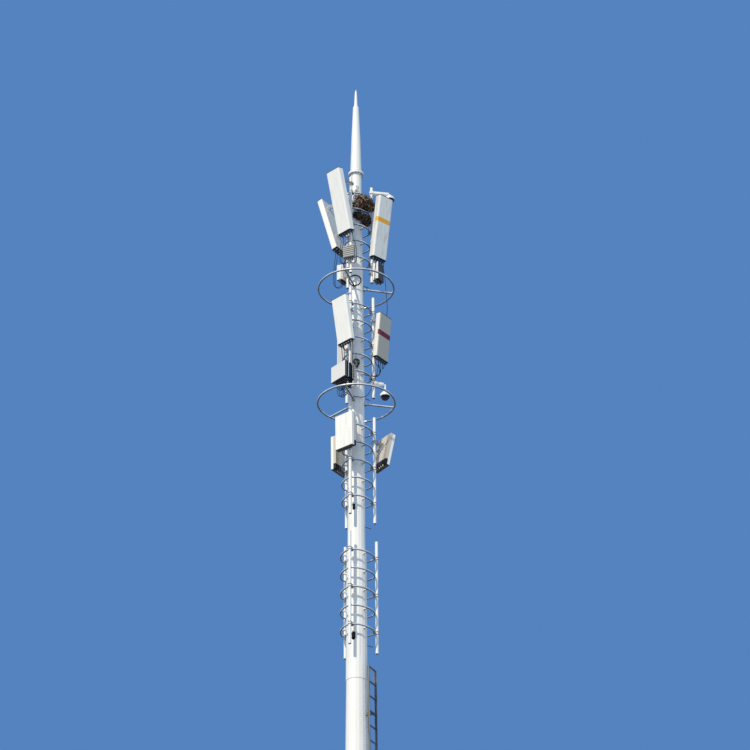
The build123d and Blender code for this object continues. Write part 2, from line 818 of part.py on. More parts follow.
def ribbed_unit(foot, width, depth, height):
    """Radio unit with level ribs across its front and connectors under it."""
    count = 6
    rib = height / (2 * count)
    with BuildPart() as body:
        with BuildSketch(foot):
            with Locations((0, depth / 2 + rib / 4)):
                RectangleRounded(width, depth - rib / 2, panel_back_radius / 2)
        extrude(amount=height)
        for level in range(count):
            with BuildSketch(foot.offset(rib * (2 * level + 0.5))):
                with Locations((0, rib)):
                    Rectangle(width * 0.92, 2 * rib)
            extrude(amount=rib)
        with BuildSketch(foot):
            with Locations((0, depth / 2)):
                with GridLocations(width / 5, 1, 4, 1):
                    Circle(connector_diameter / 2)
        extrude(amount=-connector_length)
    return body.part


# Radio units: one on the middle array, three on the top array
with BuildPart() as radio_unit_middle:
    add(radio_unit(radio_middle_plane, middle_radio_width, middle_radio_depth, middle_radio_height))
radio_unit_middle.part.label = "radio_unit_middle"
export_step(radio_unit_middle.part, "parts/radio_unit_middle.step")

with BuildPart() as radio_units_top:
    add(radio_unit(radio_left_plane, left_radio_width, left_radio_depth, left_radio_height))
    add(radio_unit(radio_right_plane, right_radio_width, right_radio_depth, right_radio_height))
    add(ribbed_unit(radio_front_plane, front_radio_width, front_radio_depth, front_radio_height))
radio_units_top.part.label = "radio_units_top"
export_step(radio_units_top.part, "parts/radio_units_top.step")


def drop_arm(pipe, azimuth, reach, height, drop):
    """Level tube from a pipe clamp with an elbow and a short tube down to a camera hood."""
    end = pipe + outward(azimuth) * reach + Vector(0, 0, height)
    with BuildPart() as arm:
        with BuildSketch(facing(pipe, azimuth, height - clamp_height / 2)):
            RectangleRounded(clamp_width, clamp_depth, cheek_thickness)
            Circle(pipe_diameter / 2 + seat, mode=Mode.SUBTRACT)
        extrude(amount=clamp_height)
        start = pipe + outward(azimuth) * (clamp_depth / 2 - cheek_thickness) + Vector(0, 0, height)
        with BuildSketch(Plane(origin=start, z_dir=outward(azimuth))):
            Circle(arm_diameter / 2)
        extrude(amount=reach - clamp_depth / 2 + cheek_thickness)
        with BuildSketch(Plane.XY.offset(height)):
            with Locations((end.X, end.Y)):
                Circle(arm_diameter / 2)
        extrude(amount=-drop)
        with Locations(end):
            Sphere(arm_diameter / 2)
    return arm.part


camera_centre = right_pipe(group_2_top) + outward(camera_azimuth) * camera_reach
camera_arm_height = group_2_top - group_run - camera_arm_drop
hood_radius = ball_radius + hood_gap + hood_wall
hood_height = ball_radius + hood_headroom
hood_head = camera_arm_height - arm_diameter / 2 - camera_neck
hood_foot = hood_head - hood_height
ball_height = hood_foot - running
camera_axis = Axis(origin=(camera_centre.X, camera_centre.Y, 0), direction=(0, 0, 1))
camera_plane = Plane(origin=(camera_centre.X, camera_centre.Y, 0), x_dir=(1, 0, 0), z_dir=(0, -1, 0))

with BuildPart() as camera_arm:
    add(
        drop_arm(
            right_pipe(group_2_top),
            camera_azimuth,
            camera_reach,
            camera_arm_height,
            camera_arm_height - hood_head - seat,
        )
    )
camera_arm.part.label = "camera_arm"
export_step(camera_arm.part, "parts/camera_arm.step")

# Hood: a turned shell with a bored boss that carries the shaft of the ball
boss_radius = shaft_radius * 3
collar_seat = hood_head - collar_recess
with BuildPart() as camera_hood:
    with BuildSketch(camera_plane):
        with BuildLine():
            Polyline(
                (collar_radius + seat, hood_head),
                (hood_top_radius, hood_head),
                (hood_radius, hood_head - hood_height * 0.55),
                (hood_radius, hood_foot),
                (hood_radius - hood_wall, hood_foot),
                (hood_radius - hood_wall, hood_head - hood_height * 0.55 - hood_wall),
                (hood_top_radius, hood_head - hood_wall - 8),
                (boss_radius, hood_head - hood_wall - 8),
                (boss_radius, hood_head - 28),
                (shaft_radius + seat, hood_head - 28),
                (shaft_radius + seat, collar_seat),
                (collar_radius + seat, collar_seat),
                close=True,
            )
        make_face()
    revolve(axis=camera_axis)
camera_hood.part.label = "camera_hood"
export_step(camera_hood.part, "parts/camera_hood.step")

# Turning ball with a flat window and the shaft it hangs on
with BuildPart() as camera_ball:
    with Locations((camera_centre.X, camera_centre.Y, ball_height)):
        Sphere(ball_radius)
    window_plane = Plane(origin=(camera_centre.X, camera_centre.Y, ball_height), z_dir=(0, -1, -0.35))
    with BuildSketch(window_plane.offset(ball_radius - lens_recess_depth)):
        Circle(lens_recess_diameter / 2)
    extrude(amount=ball_radius, mode=Mode.SUBTRACT)
    with BuildSketch(Plane.XY.offset(ball_height)):
        with Locations((camera_centre.X, camera_centre.Y)):
            Circle(shaft_radius)
    extrude(amount=collar_seat + seat - ball_height)
    with BuildSketch(Plane.XY.offset(collar_seat + seat)):
        with Locations((camera_centre.X, camera_centre.Y)):
            Circle(collar_radius)
    extrude(amount=collar_recess - 2 * seat)
camera_ball.part.label = "camera_ball"
export_step(camera_ball.part, "parts/camera_ball.step")

# Fixed dome camera on the top array: arm, hood and dark dome in one piece
with BuildPart() as upper_dome:
    upper_pipe = right_pipe(group_1_top)
    upper_centre = upper_pipe + outward(upper_dome_azimuth) * upper_dome_reach
    upper_plane = Plane(origin=(upper_centre.X, upper_centre.Y, 0), x_dir=(1, 0, 0), z_dir=(0, -1, 0))
    upper_dome_height = group_1_top + upper_dome_rise
    upper_hood_head = upper_dome_height - arm_diameter / 2
    upper_hood_foot = upper_hood_head - hood_height
    add(drop_arm(upper_pipe, upper_dome_azimuth, upper_dome_reach, upper_dome_height, arm_diameter))
    with BuildSketch(upper_plane):
        with BuildLine():
            Polyline(
                (0, upper_hood_head),
                (hood_top_radius, upper_hood_head),
                (hood_radius, upper_hood_head - hood_height * 0.55),
                (hood_radius, upper_hood_foot),
                (ball_radius, upper_hood_foot),
            )
            ThreePointArc(
                (ball_radius, upper_hood_foot),
                (ball_radius * sqrt(0.5), upper_hood_foot - ball_radius * sqrt(0.5)),
                (0, upper_hood_foot - ball_radius),
            )
            Line((0, upper_hood_foot - ball_radius), (0, upper_hood_head))
        make_face()
    revolve(axis=Axis(origin=(upper_centre.X, upper_centre.Y, 0), direction=(0, 0, 1)))
upper_dome.part.label = "upper_dome"
export_step(upper_dome.part, "parts/upper_dome.step")


def heap(centre, turn, foot, length, width, height):
    """Nest of sticks as one closed oval heap that widens above its foot."""
    with BuildPart() as mound:
        for share, spread in ((0, 0.72), (0.35, 1), (0.8, 0.9), (1, 0.55)):
            origin = Vector(centre.X, centre.Y, foot + share * height)
            base = Plane(origin=origin, x_dir=sideways(turn), z_dir=(0, 0, 1))
            with BuildSketch(base):
                Ellipse(length * spread / 2, width * spread / 2)
        loft(ruled=True)
    return mound.part


# Nest on the second hoop of the top group, with a clump that slipped to the third
second_hoop_back = group_1_top - hoop_pitch + hoop_tube / 2 + seat
third_hoop_back = second_hoop_back - hoop_pitch
nest_height = hoop_pitch - hoop_tube - nest_headroom
clump_height = hoop_pitch - hoop_tube - clump_headroom
with BuildPart() as nest:
    nest_centre = outward(nest_azimuth) * nest_reach
    add(heap(nest_centre, nest_turn, second_hoop_back, nest_length, nest_width, nest_height))
    clump_centre = outward(clump_azimuth) * clump_reach
    add(heap(clump_centre, nest_turn, third_hoop_back, clump_length, clump_width, clump_height))
nest.part.label = "nest"
export_step(nest.part, "parts/nest.step")

# Spare cable, coiled and tied to the front of the shaft above the upper ring
coil_height = upper_ring_height + coil_rise
with BuildPart() as cable_coil:
    coil_centre = outward(coil_azimuth) * coil_reach + Vector(0, 0, coil_height)
    with BuildSketch(Plane(origin=coil_centre + Vector(0, 0, coil_radius), z_dir=(1, 0, 0))):
        Circle(coil_tube / 2)
    revolve(axis=Axis(origin=coil_centre, direction=(0, 1, 0)))
    strap_low = coil_height + coil_radius - strap_width
    strap_foot = shaft_radius_at(strap_low) / cos(radians(180 / sides)) + seat
    with BuildSketch(face_plane(coil_azimuth, strap_foot, coil_height + coil_radius)):
        Rectangle(strap_width, strap_width)
    extrude(amount=coil_reach - strap_foot)
cable_coil.part.label = "cable_coil"
export_step(cable_coil.part, "parts/cable_coil.step")

# Ladder along one flat, straight from foot to head
ladder_head = joint_3_height + ladder_rise
ladder_low = outward(ladder_azimuth) * (shaft_radius_at(ladder_foot) + ladder_gap) + Vector(0, 0, ladder_foot)
ladder_high_reach = shaft_radius_at(ladder_head) + ladder_gap
ladder_high = outward(ladder_azimuth) * ladder_high_reach + Vector(0, 0, ladder_head)
ladder_run = (ladder_high - ladder_low).length
ladder_plane = Plane(origin=ladder_low, x_dir=sideways(ladder_azimuth), z_dir=ladder_high - ladder_low)
rung_count = int(ladder_run / rung_pitch)
with BuildPart() as ladder:
    with BuildSketch(ladder_plane):
        with GridLocations(ladder_width, 1, 2, 1):
            Rectangle(rail_thickness, rail_depth)
    extrude(amount=ladder_run)
    for count in range(rung_count + 1):
        with BuildSketch(ladder_plane.offset(ladder_run - rung_diameter - count * rung_pitch)):
            Rectangle(ladder_width, rung_diameter)
        extrude(amount=rung_diameter)
    for count in range(int(ladder_run / standoff_pitch) + 1):
        level = ladder_foot + standoff_pitch / 4 + count * standoff_pitch
        foot = clear_of_shaft(level - standoff_height / 2, level + standoff_height / 2)
        share = (level - ladder_foot) / (ladder_head - ladder_foot)
        ladder_reach = (ladder_low + (ladder_high - ladder_low) * share).dot(outward(ladder_azimuth))
        with BuildSketch(face_plane(ladder_azimuth, foot, level)):
            Rectangle(standoff_width, standoff_height)
        extrude(amount=ladder_reach - foot)
        with BuildSketch(face_plane(ladder_azimuth, ladder_reach - rail_thickness / 2, level)):
            Rectangle(ladder_width, standoff_height)
        extrude(amount=rail_thickness)
ladder.part.label = "ladder"
export_step(ladder.part, "parts/ladder.step")

# Step bolts above the ladder, one past each joint and one under the top array
section_feet = (joint_3_height, joint_4_height, joint_5_height, joint_5_height)
step_heights = [foot + rise for foot, rise in zip(section_feet, step_rises)]
with BuildPart() as step_bolts:
    for level in step_heights:
        foot = clear_of_shaft(level - step_diameter / 2, level + step_diameter / 2)
        with BuildSketch(face_plane(step_azimuth, foot, level)):
            RegularPolygon(step_diameter, 6)
        extrude(amount=step_diameter)
        with BuildSketch(face_plane(step_azimuth, foot + step_diameter, level)):
            Circle(step_diameter / 2)
        extrude(amount=step_length)
step_bolts.part.label = "step_bolts"
export_step(step_bolts.part, "parts/step_bolts.step")


def panel_tip(foot, sizes, column, row):
    """Point just below one of the connectors under an antenna."""
    width, depth, columns = sizes
    pitch = (width - 3 * connector_diameter) / (columns - 1)
    across = (column - (columns - 1) / 2) * pitch
    inward = depth / 2 + row * depth / 4.8
    return foot.from_local_coords(Vector(across, inward, -connector_length - seat))


def radio_tip(foot, width, depth, column):
    """Point just below one of the connectors under a radio unit."""
    return foot.from_local_coords(Vector((column - 2) * width / 6, depth * 0.45, -connector_length - seat))


def ribbed_tip(foot, width, depth, column):
    """Point just below one of the connectors under the ribbed radio unit."""
    return foot.from_local_coords(Vector((column - 1.5) * width / 5, depth / 2, -connector_length - seat))


def upturn(leg, tip):
    """Corners of the half octagon in which a hanging cable turns up to its connector."""
    side = Vector(tip.X - leg[0], tip.Y - leg[1], 0)
    run = side.length * (sqrt(2) - 1)
    corner = side * (1 - sqrt(0.5))
    low = Vector(0, 0, -corner.length)
    start = Vector(leg[0], leg[1], tip.Z - run)
    end = Vector(tip.X, tip.Y, tip.Z - run)
    return (start, start + corner + low, end - corner + low, end)


def below(top, *route):
    """Points of a route, each with its distance below a group's first hoop as third number."""
    return tuple(Vector(x, y, top - drop) for x, y, drop in route)


def hung_cable(foot, start, middle, tip, diameter):
    """Cable that leaves an antenna's connector straight, hangs in a bow and ends below another one."""
    down = foot.z_dir * -1
    points = [start, start + down * cable_lead, *middle, tip]
    bends = []
    for before, here, after in zip(points, points[1:], points[2:]):
        turn = (here - before).get_angle(after - here)
        run = min((here - before).length, (after - here).length)
        bends.append(0.45 * run / tan(radians(turn / 2)))
    print("bend radii of a cable:", [round(bend) for bend in bends])
    with BuildPart() as tube:
        with BuildLine() as route:
            FilletPolyline(*points, radius=bends)
        with BuildSketch(Plane(origin=start, z_dir=down)):
            Circle(diameter / 2)
        sweep()
    return tube.part


# Cables of the top array
top_sizes = (top_panel_width, top_panel_depth, 5)
middle_sizes = (middle_panel_width, middle_panel_depth, 6)
with BuildPart() as jumpers_top:
    foot = panel_top_left_plane
    tip = radio_tip(radio_left_plane, left_radio_width, left_radio_depth, 3)
    bow = below(group_1_top, (-438, 304, 1265), (-462, 322, 1425), (-476, 334, 1615), (-474, 340, 1805))
    start = panel_tip(foot, top_sizes, 4, -1)
    bow = bow + upturn((-468, 338), tip)
    add(hung_cable(foot, start, bow, tip, jumper_diameter))
    tip = radio_tip(radio_left_plane, left_radio_width, left_radio_depth, 2)
    bow = below(group_1_top, (-400, 360, 1265), (-428, 376, 1425), (-446, 388, 1615), (-445, 392, 1805))
    start = panel_tip(foot, top_sizes, 3, -1)
    bow = bow + upturn((-440, 388), tip)
    add(hung_cable(foot, start, bow, tip, jumper_diameter))
    foot = panel_top_front_plane
    tip = ribbed_tip(radio_front_plane, front_radio_width, front_radio_depth, 0)
    bow = below(group_1_top, (-314, -334, 1325), (-330, -360, 1465), (-342, -386, 1615), (-340, -394, 1735))
    start = panel_tip(foot, top_sizes, 0, -1)
    bow = bow + upturn((-335, -392), tip)
    add(hung_cable(foot, start, bow, tip, jumper_diameter))
    tip = ribbed_tip(radio_front_plane, front_radio_width, front_radio_depth, 1)
    bow = below(group_1_top, (-264, -378, 1305), (-284, -398, 1465), (-312, -422, 1615), (-318, -432, 1735))
    start = panel_tip(foot, top_sizes, 1, -1)
    bow = bow + upturn((-310, -432), tip)
    add(hung_cable(foot, start, bow, tip, jumper_diameter))
    tip = ribbed_tip(radio_front_plane, front_radio_width, front_radio_depth, 2)
    bow = below(group_1_top, (-52, -488, 1305), (-8, -492, 1435), (12, -488, 1585), (12, -482, 1725))
    start = panel_tip(foot, top_sizes, 4, 1)
    bow = bow + upturn((4, -478), tip)
    add(hung_cable(foot, start, bow, tip, jumper_diameter))
    foot = panel_top_right_plane
    tip = radio_tip(radio_right_plane, right_radio_width, right_radio_depth, 1)
    bow = below(group_1_top, (404, -120, 1725), (392, -138, 1845), (387, -145, 1965), (387, -141, 2055))
    start = panel_tip(foot, top_sizes, 1, -1)
    bow = bow + upturn((392, -135), tip)
    add(hung_cable(foot, start, bow, tip, jumper_diameter))
jumpers_top.part.label = "jumpers_top"
export_step(jumpers_top.part, "parts/jumpers_top.step")

# Cables of the middle array
with BuildPart() as jumpers_middle:
    foot = panel_middle_front_plane
    unit = (radio_middle_plane, middle_radio_width, middle_radio_depth)
    bow = below(
        group_2_top,
        (-284, -294, 1250),
        (-268, -300, 1440),
        (-262, -304, 1650),
        (-266, -308, 1840),
        (-272, -316, 1960),
    )
    tip = radio_tip(*unit, 0)
    start = panel_tip(foot, middle_sizes, 0, 1)
    bow = bow + upturn((-272, -320), tip)
    add(hung_cable(foot, start, bow, tip, jumper_diameter))
    bow = below(
        group_2_top,
        (-240, -334, 1250),
        (-236, -334, 1440),
        (-238, -338, 1650),
        (-236, -336, 1840),
        (-240, -342, 1960),
    )
    tip = radio_tip(*unit, 1)
    start = panel_tip(foot, middle_sizes, 1, 1)
    bow = bow + upturn((-240, -346), tip)
    add(hung_cable(foot, start, bow, tip, jumper_diameter))
    bow = below(
        group_2_top,
        (-108, -476, 1250),
        (-112, -484, 1440),
        (-116, -486, 1650),
        (-112, -488, 1840),
        (-112, -491, 1960),
    )
    tip = radio_tip(*unit, 3)
    start = panel_tip(foot, middle_sizes, 4, 1)
    bow = bow + upturn((-114, -492), tip)
    add(hung_cable(foot, start, bow, tip, jumper_diameter))
    bow = below(
        group_2_top,
        (-68, -516, 1250),
        (-78, -520, 1440),
        (-88, -520, 1650),
        (-84, -519, 1840),
        (-80, -522, 1960),
    )
    tip = radio_tip(*unit, 4)
    start = panel_tip(foot, middle_sizes, 5, 1)
    bow = bow + upturn((-80, -524), tip)
    add(hung_cable(foot, start, bow, tip, jumper_diameter))
jumpers_middle.part.label = "jumpers_middle"
export_step(jumpers_middle.part, "parts/jumpers_middle.step")

# Long cables of the right side: one passes behind the middle antenna, one crosses the front of the shaft
with BuildPart() as long_cables:
    foot = panel_top_right_plane
    tip = panel_tip(panel_middle_right_plane, middle_sizes, 4, -1) - Vector(0, 0, 2 * seat)
    bow = below(
        group_2_top,
        (578, 34, -1010),
        (598, 38, -870),
        (612, 44, -700),
        (622, 52, -520),
        (636, 62, -340),
        (648, 84, -160),
        (640, 124, 0),
        (612, 160, 140),
        (588, 178, 300),
        (576, 184, 470),
        (566, 182, 650),
        (556, 180, 820),
        (545, 178, 990),
        (540, 176, 1140),
        (537, 173, 1220),
    )
    start = panel_tip(foot, top_sizes, 4, -1)
    bow = bow + upturn((536, 170), tip)
    add(hung_cable(foot, start, bow, tip, thin_cable_diameter))
    foot = panel_middle_right_plane
    tip = radio_tip(*unit, 2)
    bow = below(
        group_2_top,
        (448, -22, 1375),
        (424, -8, 1490),
        (384, 0, 1630),
        (340, -20, 1780),
        (296, -50, 1920),
        (246, -84, 2035),
        (190, -122, 2112),
        (130, -160, 2150),
        (62, -190, 2162),
        (-10, -206, 2162),
        (-80, -228, 2156),
        (-144, -274, 2152),
        (-200, -345, 2154),
        (-252, -426, 2152),
        (-286, -478, 2128),
    )
    end = (tip + Vector(0, 0, -cable_lead * 0.9),)
    start = panel_tip(foot, middle_sizes, 2, 1)
    add(hung_cable(foot, start, bow + end, tip, thin_cable_diameter))
long_cables.part.label = "long_cables"
export_step(long_cables.part, "parts/long_cables.step")
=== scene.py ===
import math
import random

import bmesh
import bpy
from bpy.props import FloatProperty, FloatVectorProperty, IntProperty, PointerProperty
from mathutils import Matrix, Vector


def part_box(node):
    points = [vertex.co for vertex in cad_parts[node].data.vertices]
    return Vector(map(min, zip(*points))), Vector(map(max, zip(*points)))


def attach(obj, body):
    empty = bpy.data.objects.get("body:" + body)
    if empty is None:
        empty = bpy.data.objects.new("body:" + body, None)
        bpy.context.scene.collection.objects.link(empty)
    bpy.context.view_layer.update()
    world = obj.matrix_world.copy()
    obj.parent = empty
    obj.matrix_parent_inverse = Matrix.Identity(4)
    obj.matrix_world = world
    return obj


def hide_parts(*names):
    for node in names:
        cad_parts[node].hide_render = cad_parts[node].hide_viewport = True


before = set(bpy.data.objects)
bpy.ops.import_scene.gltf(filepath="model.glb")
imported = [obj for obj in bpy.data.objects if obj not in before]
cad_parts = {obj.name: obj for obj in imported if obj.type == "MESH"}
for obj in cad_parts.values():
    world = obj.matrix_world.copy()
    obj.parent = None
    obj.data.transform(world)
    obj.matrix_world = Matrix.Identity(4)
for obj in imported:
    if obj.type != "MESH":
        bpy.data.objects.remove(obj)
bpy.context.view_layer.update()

bl_info = {
    "name": "Monopole Cell Tower",
    "version": (1, 0, 0),
    "blender": (4, 5, 0),
    "location": "View3D > Sidebar > Tower",
    "description": "Finishes, fixings and stage for a monopole cell tower",
    "category": "Object",
}

# Lengths are in metres and angles in degrees. Azimuth 0 faces the camera, and 90 is on its right.

UP = Vector((0, 0, 1))
SHAFT_FOOT = Vector((0, 0, 0))

SIDES = 18
FLAT_AZIMUTH = 43  # middle of one of the shaft's flats
PLATE_THICKNESS = 0.045
ANCHOR_CIRCLE = 0.5103125  # radius on which the anchor bolts stand
GREY_PATCH_FOOT = 32.33  # lower edge of the grey patch on the stub

HOOP_PITCH = 0.4
HOOP_TOPS = {1: 32.205, 2: 29.43, 3: 26.57, 4: 23.765}  # first hoop of each group
PIPE_RADIUS = 0.03
CORNERS = {"front": -17, "right": 103, "left": 223}  # azimuths of a group's pipes
U_BOLT_TURNS = {"front": -3.4, "right": 3.0, "left": -19.5}  # from there to the hoop's own corner
BRACKET_SEAT = 0.0003  # gap between a bracket and what it carries

CABLE_RADIUS = 0.0065
COIL_HEIGHT = 30.056
COIL_AZIMUTH = -7
COIL_RADIUS = 0.125
DOME_RISE = 0.092  # foot of the upper camera's hood above the foot of its dome
SHADED_HEAP_TOP = 31.79  # height up to which the nest's lower heap is darkened as painted shade
SHADED_HEAPS_BELOW = 31.6  # heaps that stand below this height take mostly dark sticks, as painted shade

# Cover of each camera's arm: pipe group, azimuth, height, distance of its two ends from the pipe
ARM_COVERS = ((1, 100, 32.445, 0.052, 0.375), (2, 110, 27.755, 0.052, 0.215))

# Tape on two panels: its edges above the panel's foot, how far it goes round, its colour setting
BANDS = {
    "panel_top_right": (0.825, 0.93, 0.075, "yellow_band"),
    "panel_middle_right": (0.505, 0.622, 0.03, "red_band"),
}

# CAD nodes by finish; those that aren't listed are painted
NODE_FINISHES = {
    "stub": ("top_stub",),
    "radios": ("radio_units_top",),
    "radio_middle": ("radio_unit_middle",),
    "dome": ("upper_dome",),
    "ball": ("camera_ball",),
    "twig": ("nest",),
    "sheath": ("cable_coil", "long_cables", "jumpers_top", "jumpers_middle"),
    "zinc": ("brackets_top", "brackets_middle", "brackets_lower", "base_plate"),
    # The ladder and step bolts are painted dark as shade
    "shaded_zinc": ("step_bolts", "ladder"),
    "hoop": ("hoops_1", "hoops_2", "hoops_3", "hoops_4", "work_ring_upper", "work_ring_lower"),
}

# Sizes of the patterns in millimetres: across, or across and up where rain draws them out. All are
# drawn at their real size but for the orange peel, which is about 1 mm, too fine to show, and is
# drawn coarser.
RAIN_STREAKS = (44.64, 1136.4)
SOILING = 909.1
MUD_SPLASHES = 111.11
ORANGE_PEEL = 6.25
GREY_PATCH_SPOTS = 35.714
SPANGLE = 12.5
PATINA_RUNS = (37.04, 416.67)
CHALK = 166.67
RUST_SPOTS = 142.86
RADOME_STREAKS = (71.43, 649.35)
TAPE_WEAR = 33.333
COVER_STREAKS = (55.56, 555.56)
DUST = 83.333
BARK = 45.455
SHEATH_DUST = 55.556


# Places


def outward(azimuth):
    """Unit vector away from the mast."""
    angle = math.radians(azimuth)
    return Vector((math.sin(angle), -math.cos(angle), 0))


def sideways(azimuth):
    """Unit vector along a face that looks out at the azimuth."""
    angle = math.radians(azimuth)
    return Vector((math.cos(angle), math.sin(angle), 0))


def axes(first, second, third):
    """Turn that lays X, Y and Z along three unit vectors."""
    return Matrix((first, second, third)).transposed().to_4x4()


def pipe_points(group):
    """Points of the mesh of a group's antenna pipes."""
    return [v.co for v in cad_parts[f"antenna_pipes_{group}"].data.vertices]


def pipe_centres(group):
    """Axes of a group's three antenna pipes, read from the CAD mesh."""
    least_cosine = 0.55
    centres = {}
    for corner, azimuth in CORNERS.items():
        out = outward(azimuth).xy
        near = [p for p in pipe_points(group) if p.xy.dot(out) > least_cosine * p.xy.length]
        xs = [p.x for p in near]
        ys = [p.y for p in near]
        centres[corner] = Vector(((min(xs) + max(xs)) / 2, (min(ys) + max(ys)) / 2, 0))
    return centres


def mid_hoops(group, *levels):
    """Heights half a pitch above hoops of a group, which are counted down from its first."""
    return [HOOP_TOPS[group] - HOOP_PITCH * (level - 0.5) for level in levels]


PIPES = {group: pipe_centres(group) for group in HOOP_TOPS}


class Unit:
    """Antenna or radio, with its frame: across its face, inward to the mast, up its length."""

    def __init__(self, group, corner, azimuth, reach, height, lean, size, bracket_heights):
        tilt = math.radians(lean)
        self.pipe = PIPES[group][corner]
        self.reach = reach
        self.width, self.depth, self.length, self.columns = size
        self.bracket_heights = bracket_heights
        self.out = outward(azimuth)
        self.across = sideways(azimuth)
        self.up = self.out * math.sin(tilt) + UP * math.cos(tilt)
        self.inward = self.up.cross(self.across)
        self.origin = self.pipe + self.out * reach + UP * height

    def at(self, across, inward, up):
        """Point that is given in the unit's own frame."""
        return self.origin + self.across * across + self.inward * inward + self.up * up


def panel_pitch(panel):
    """Distance between the columns of a panel's connectors, which keep clear of its sides."""
    clear = 0.045
    return (panel.width - 2 * clear) / (panel.columns - 1)


# Width, depth, length and columns of connectors of each kind of antenna
TOP_PANEL = (0.37, 0.14, 1.45, 5)
MID_PANEL = (0.41, 0.108, 1.02, 6)
ACTIVE = (0.44, 0.13, 0.75, 5)

# Pipe group and corner, azimuth, reach from the pipe, height of the foot, lean, size, brackets
ANTENNAS = {
    "panel_top_front": Unit(1, "front", -45, 0.209, 31.08, 13.9, TOP_PANEL, mid_hoops(1, 0, 3)),
    "panel_top_left": Unit(1, "left", -125, 0.288, 31.138, 16.1, TOP_PANEL, mid_hoops(1, 0, 2)),
    "panel_top_right": Unit(1, "right", 41, 0.261, 30.66, 9.3, TOP_PANEL, mid_hoops(1, 1, 4)),
    "panel_middle_front": Unit(2, "front", -45.5, 0.18, 28.4, 10.2, MID_PANEL, mid_hoops(2, 1, 2)),
    "panel_middle_right": Unit(2, "right", 53, 0.235, 28.237, 5.8, MID_PANEL, mid_hoops(2, 1, 3)),
    "panel_middle_back": Unit(2, "left", 180, 0.19, 28.3, 6, MID_PANEL, mid_hoops(2, 1, 3)),
    "active_antenna_front": Unit(3, "front", -40.5, 0.205, 25.94, 1, ACTIVE, mid_hoops(3, 1)),
    "active_antenna_left": Unit(3, "left", -125, 0.235, 25.845, 0.5, ACTIVE, mid_hoops(3, 1)),
    "active_antenna_right": Unit(3, "right", 124, 0.219, 25.82, 12.3, ACTIVE, mid_hoops(3, 1)),
}
# The same of each radio; none leans, and each has one bracket
RADIOS = {
    "middle": Unit(2, "front", -50, 0.332, 27.474, 0, (0.43, 0.21, 0.355, 5), (27.65,)),
    "left": Unit(1, "left", -125, 0.196, 30.38, 0, (0.25, 0.13, 0.365, 5), (30.45,)),
    "right": Unit(1, "right", 60, 0.222, 30.17, 0, (0.24, 0.142, 0.415, 5), (30.38,)),
    "ribbed": Unit(1, "front", -20, 0.16, 30.475, 0, (0.24, 0.11, 0.29, 4), (30.52,)),
}


# Settings


def colour_setting(name, description, default):
    """Setting for a colour, which is held in sRGB."""
    return FloatVectorProperty(
        name=name,
        description=description,
        subtype="COLOR_GAMMA",
        size=3,
        min=0,
        max=1,
        default=default,
    )


class FinishSettings(bpy.types.PropertyGroup):
    """Colours of the tower."""

    paint: colour_setting("Paint", "Topcoat of the shaft and steelwork", (0.93, 0.935, 0.925))
    zinc: colour_setting("Zinc", "Weathered galvanised steel", (0.68, 0.7, 0.705))
    radome: colour_setting("Radome", "Gel coat of the white antennas", (0.95, 0.95, 0.935))
    grey_radome: colour_setting(
        "Grey Radome", "Gel coat of the two right antennas", (0.9, 0.905, 0.895)
    )
    # Front of the middle right antenna, painted darker as shade
    shaded_front_radome: colour_setting(
        "Front Radome", "Front of the middle right antenna, painted darker as shade", (0.72, 0.715, 0.66)
    )
    yellow_band: colour_setting(
        "Yellow Band", "Tape round the top right antenna", (0.93, 0.69, 0.12)
    )
    red_band: colour_setting("Red Band", "Tape on the middle right antenna", (0.5, 0.06, 0.16))
    twig: colour_setting("Twigs", "Dry sticks of the nest", (0.28, 0.19, 0.13))


class FixingSettings(bpy.types.PropertyGroup):
    """Sizes of the fixings."""

    u_bolt: FloatProperty(
        name="U-Bolt Rod",
        description="Rod of the U-bolts round the pipes",
        unit="LENGTH",
        default=0.010,
        min=0.004,
        max=0.02,
    )
    anchor: FloatProperty(
        name="Anchor Rod",
        description="Rod of the anchor bolts",
        unit="LENGTH",
        default=0.036,
        min=0.02,
        max=0.04,
    )
    twigs: IntProperty(
        name="Twigs", description="Sticks in the nest's largest heap", default=520, min=50, max=2000
    )


class StageSettings(bpy.types.PropertyGroup):
    """Light and backdrop."""

    sky: colour_setting("Sky", "Colour behind the tower", (0.33, 0.515, 0.75))
    floor: colour_setting("Floor", "Colour of the ground", (0.64, 0.64, 0.63))
    sun: FloatProperty(name="Sun", description="Strength of the sun", default=3.2, min=0, max=10)
    sky_light: FloatProperty(
        name="Sky Light",
        description="Strength of the light from all round",
        default=0.7,
        min=0,
        max=3,
    )


# Nodes and patterns


def linear(code):
    """Linear colour of an sRGB hex code."""
    parts = [int(code[k:k + 2], 16) / 255 for k in (1, 3, 5)]
    return [c / 12.92 if c <= 0.04045 else ((c + 0.055) / 1.055) ** 2.4 for c in parts] + [1]


def hex_of(colour):
    """Hex code of a colour picked in the panel, which is held in sRGB."""
    return "#" + "".join(f"{round(255 * c):02x}" for c in colour)


def add_node(tree, kind, inputs=(), output=0, **settings):
    """Adds a shader node with its settings, fills or links its inputs, and gives one output."""
    node = tree.nodes.new("ShaderNode" + kind)
    for key, value in settings.items():
        setattr(node, key, value)
    for key, value in dict(inputs).items():
        if isinstance(value, bpy.types.NodeSocket):
            tree.links.new(value, node.inputs[key])
        else:
            node.inputs[key].default_value = linear(value) if isinstance(value, str) else value
    return node.outputs[output] if node.outputs else None


def above(value, limit, soft):
    """Inputs of a soft step from 0 to 1 as a value passes a limit."""
    return {"Value": value, "From Min": limit - soft, "From Max": limit + soft}


def below(value, limit, soft):
    """Inputs of a soft step from 1 to 0 as a value passes a limit."""
    return {**above(value, limit, soft), "To Min": 1.0, "To Max": 0.0}


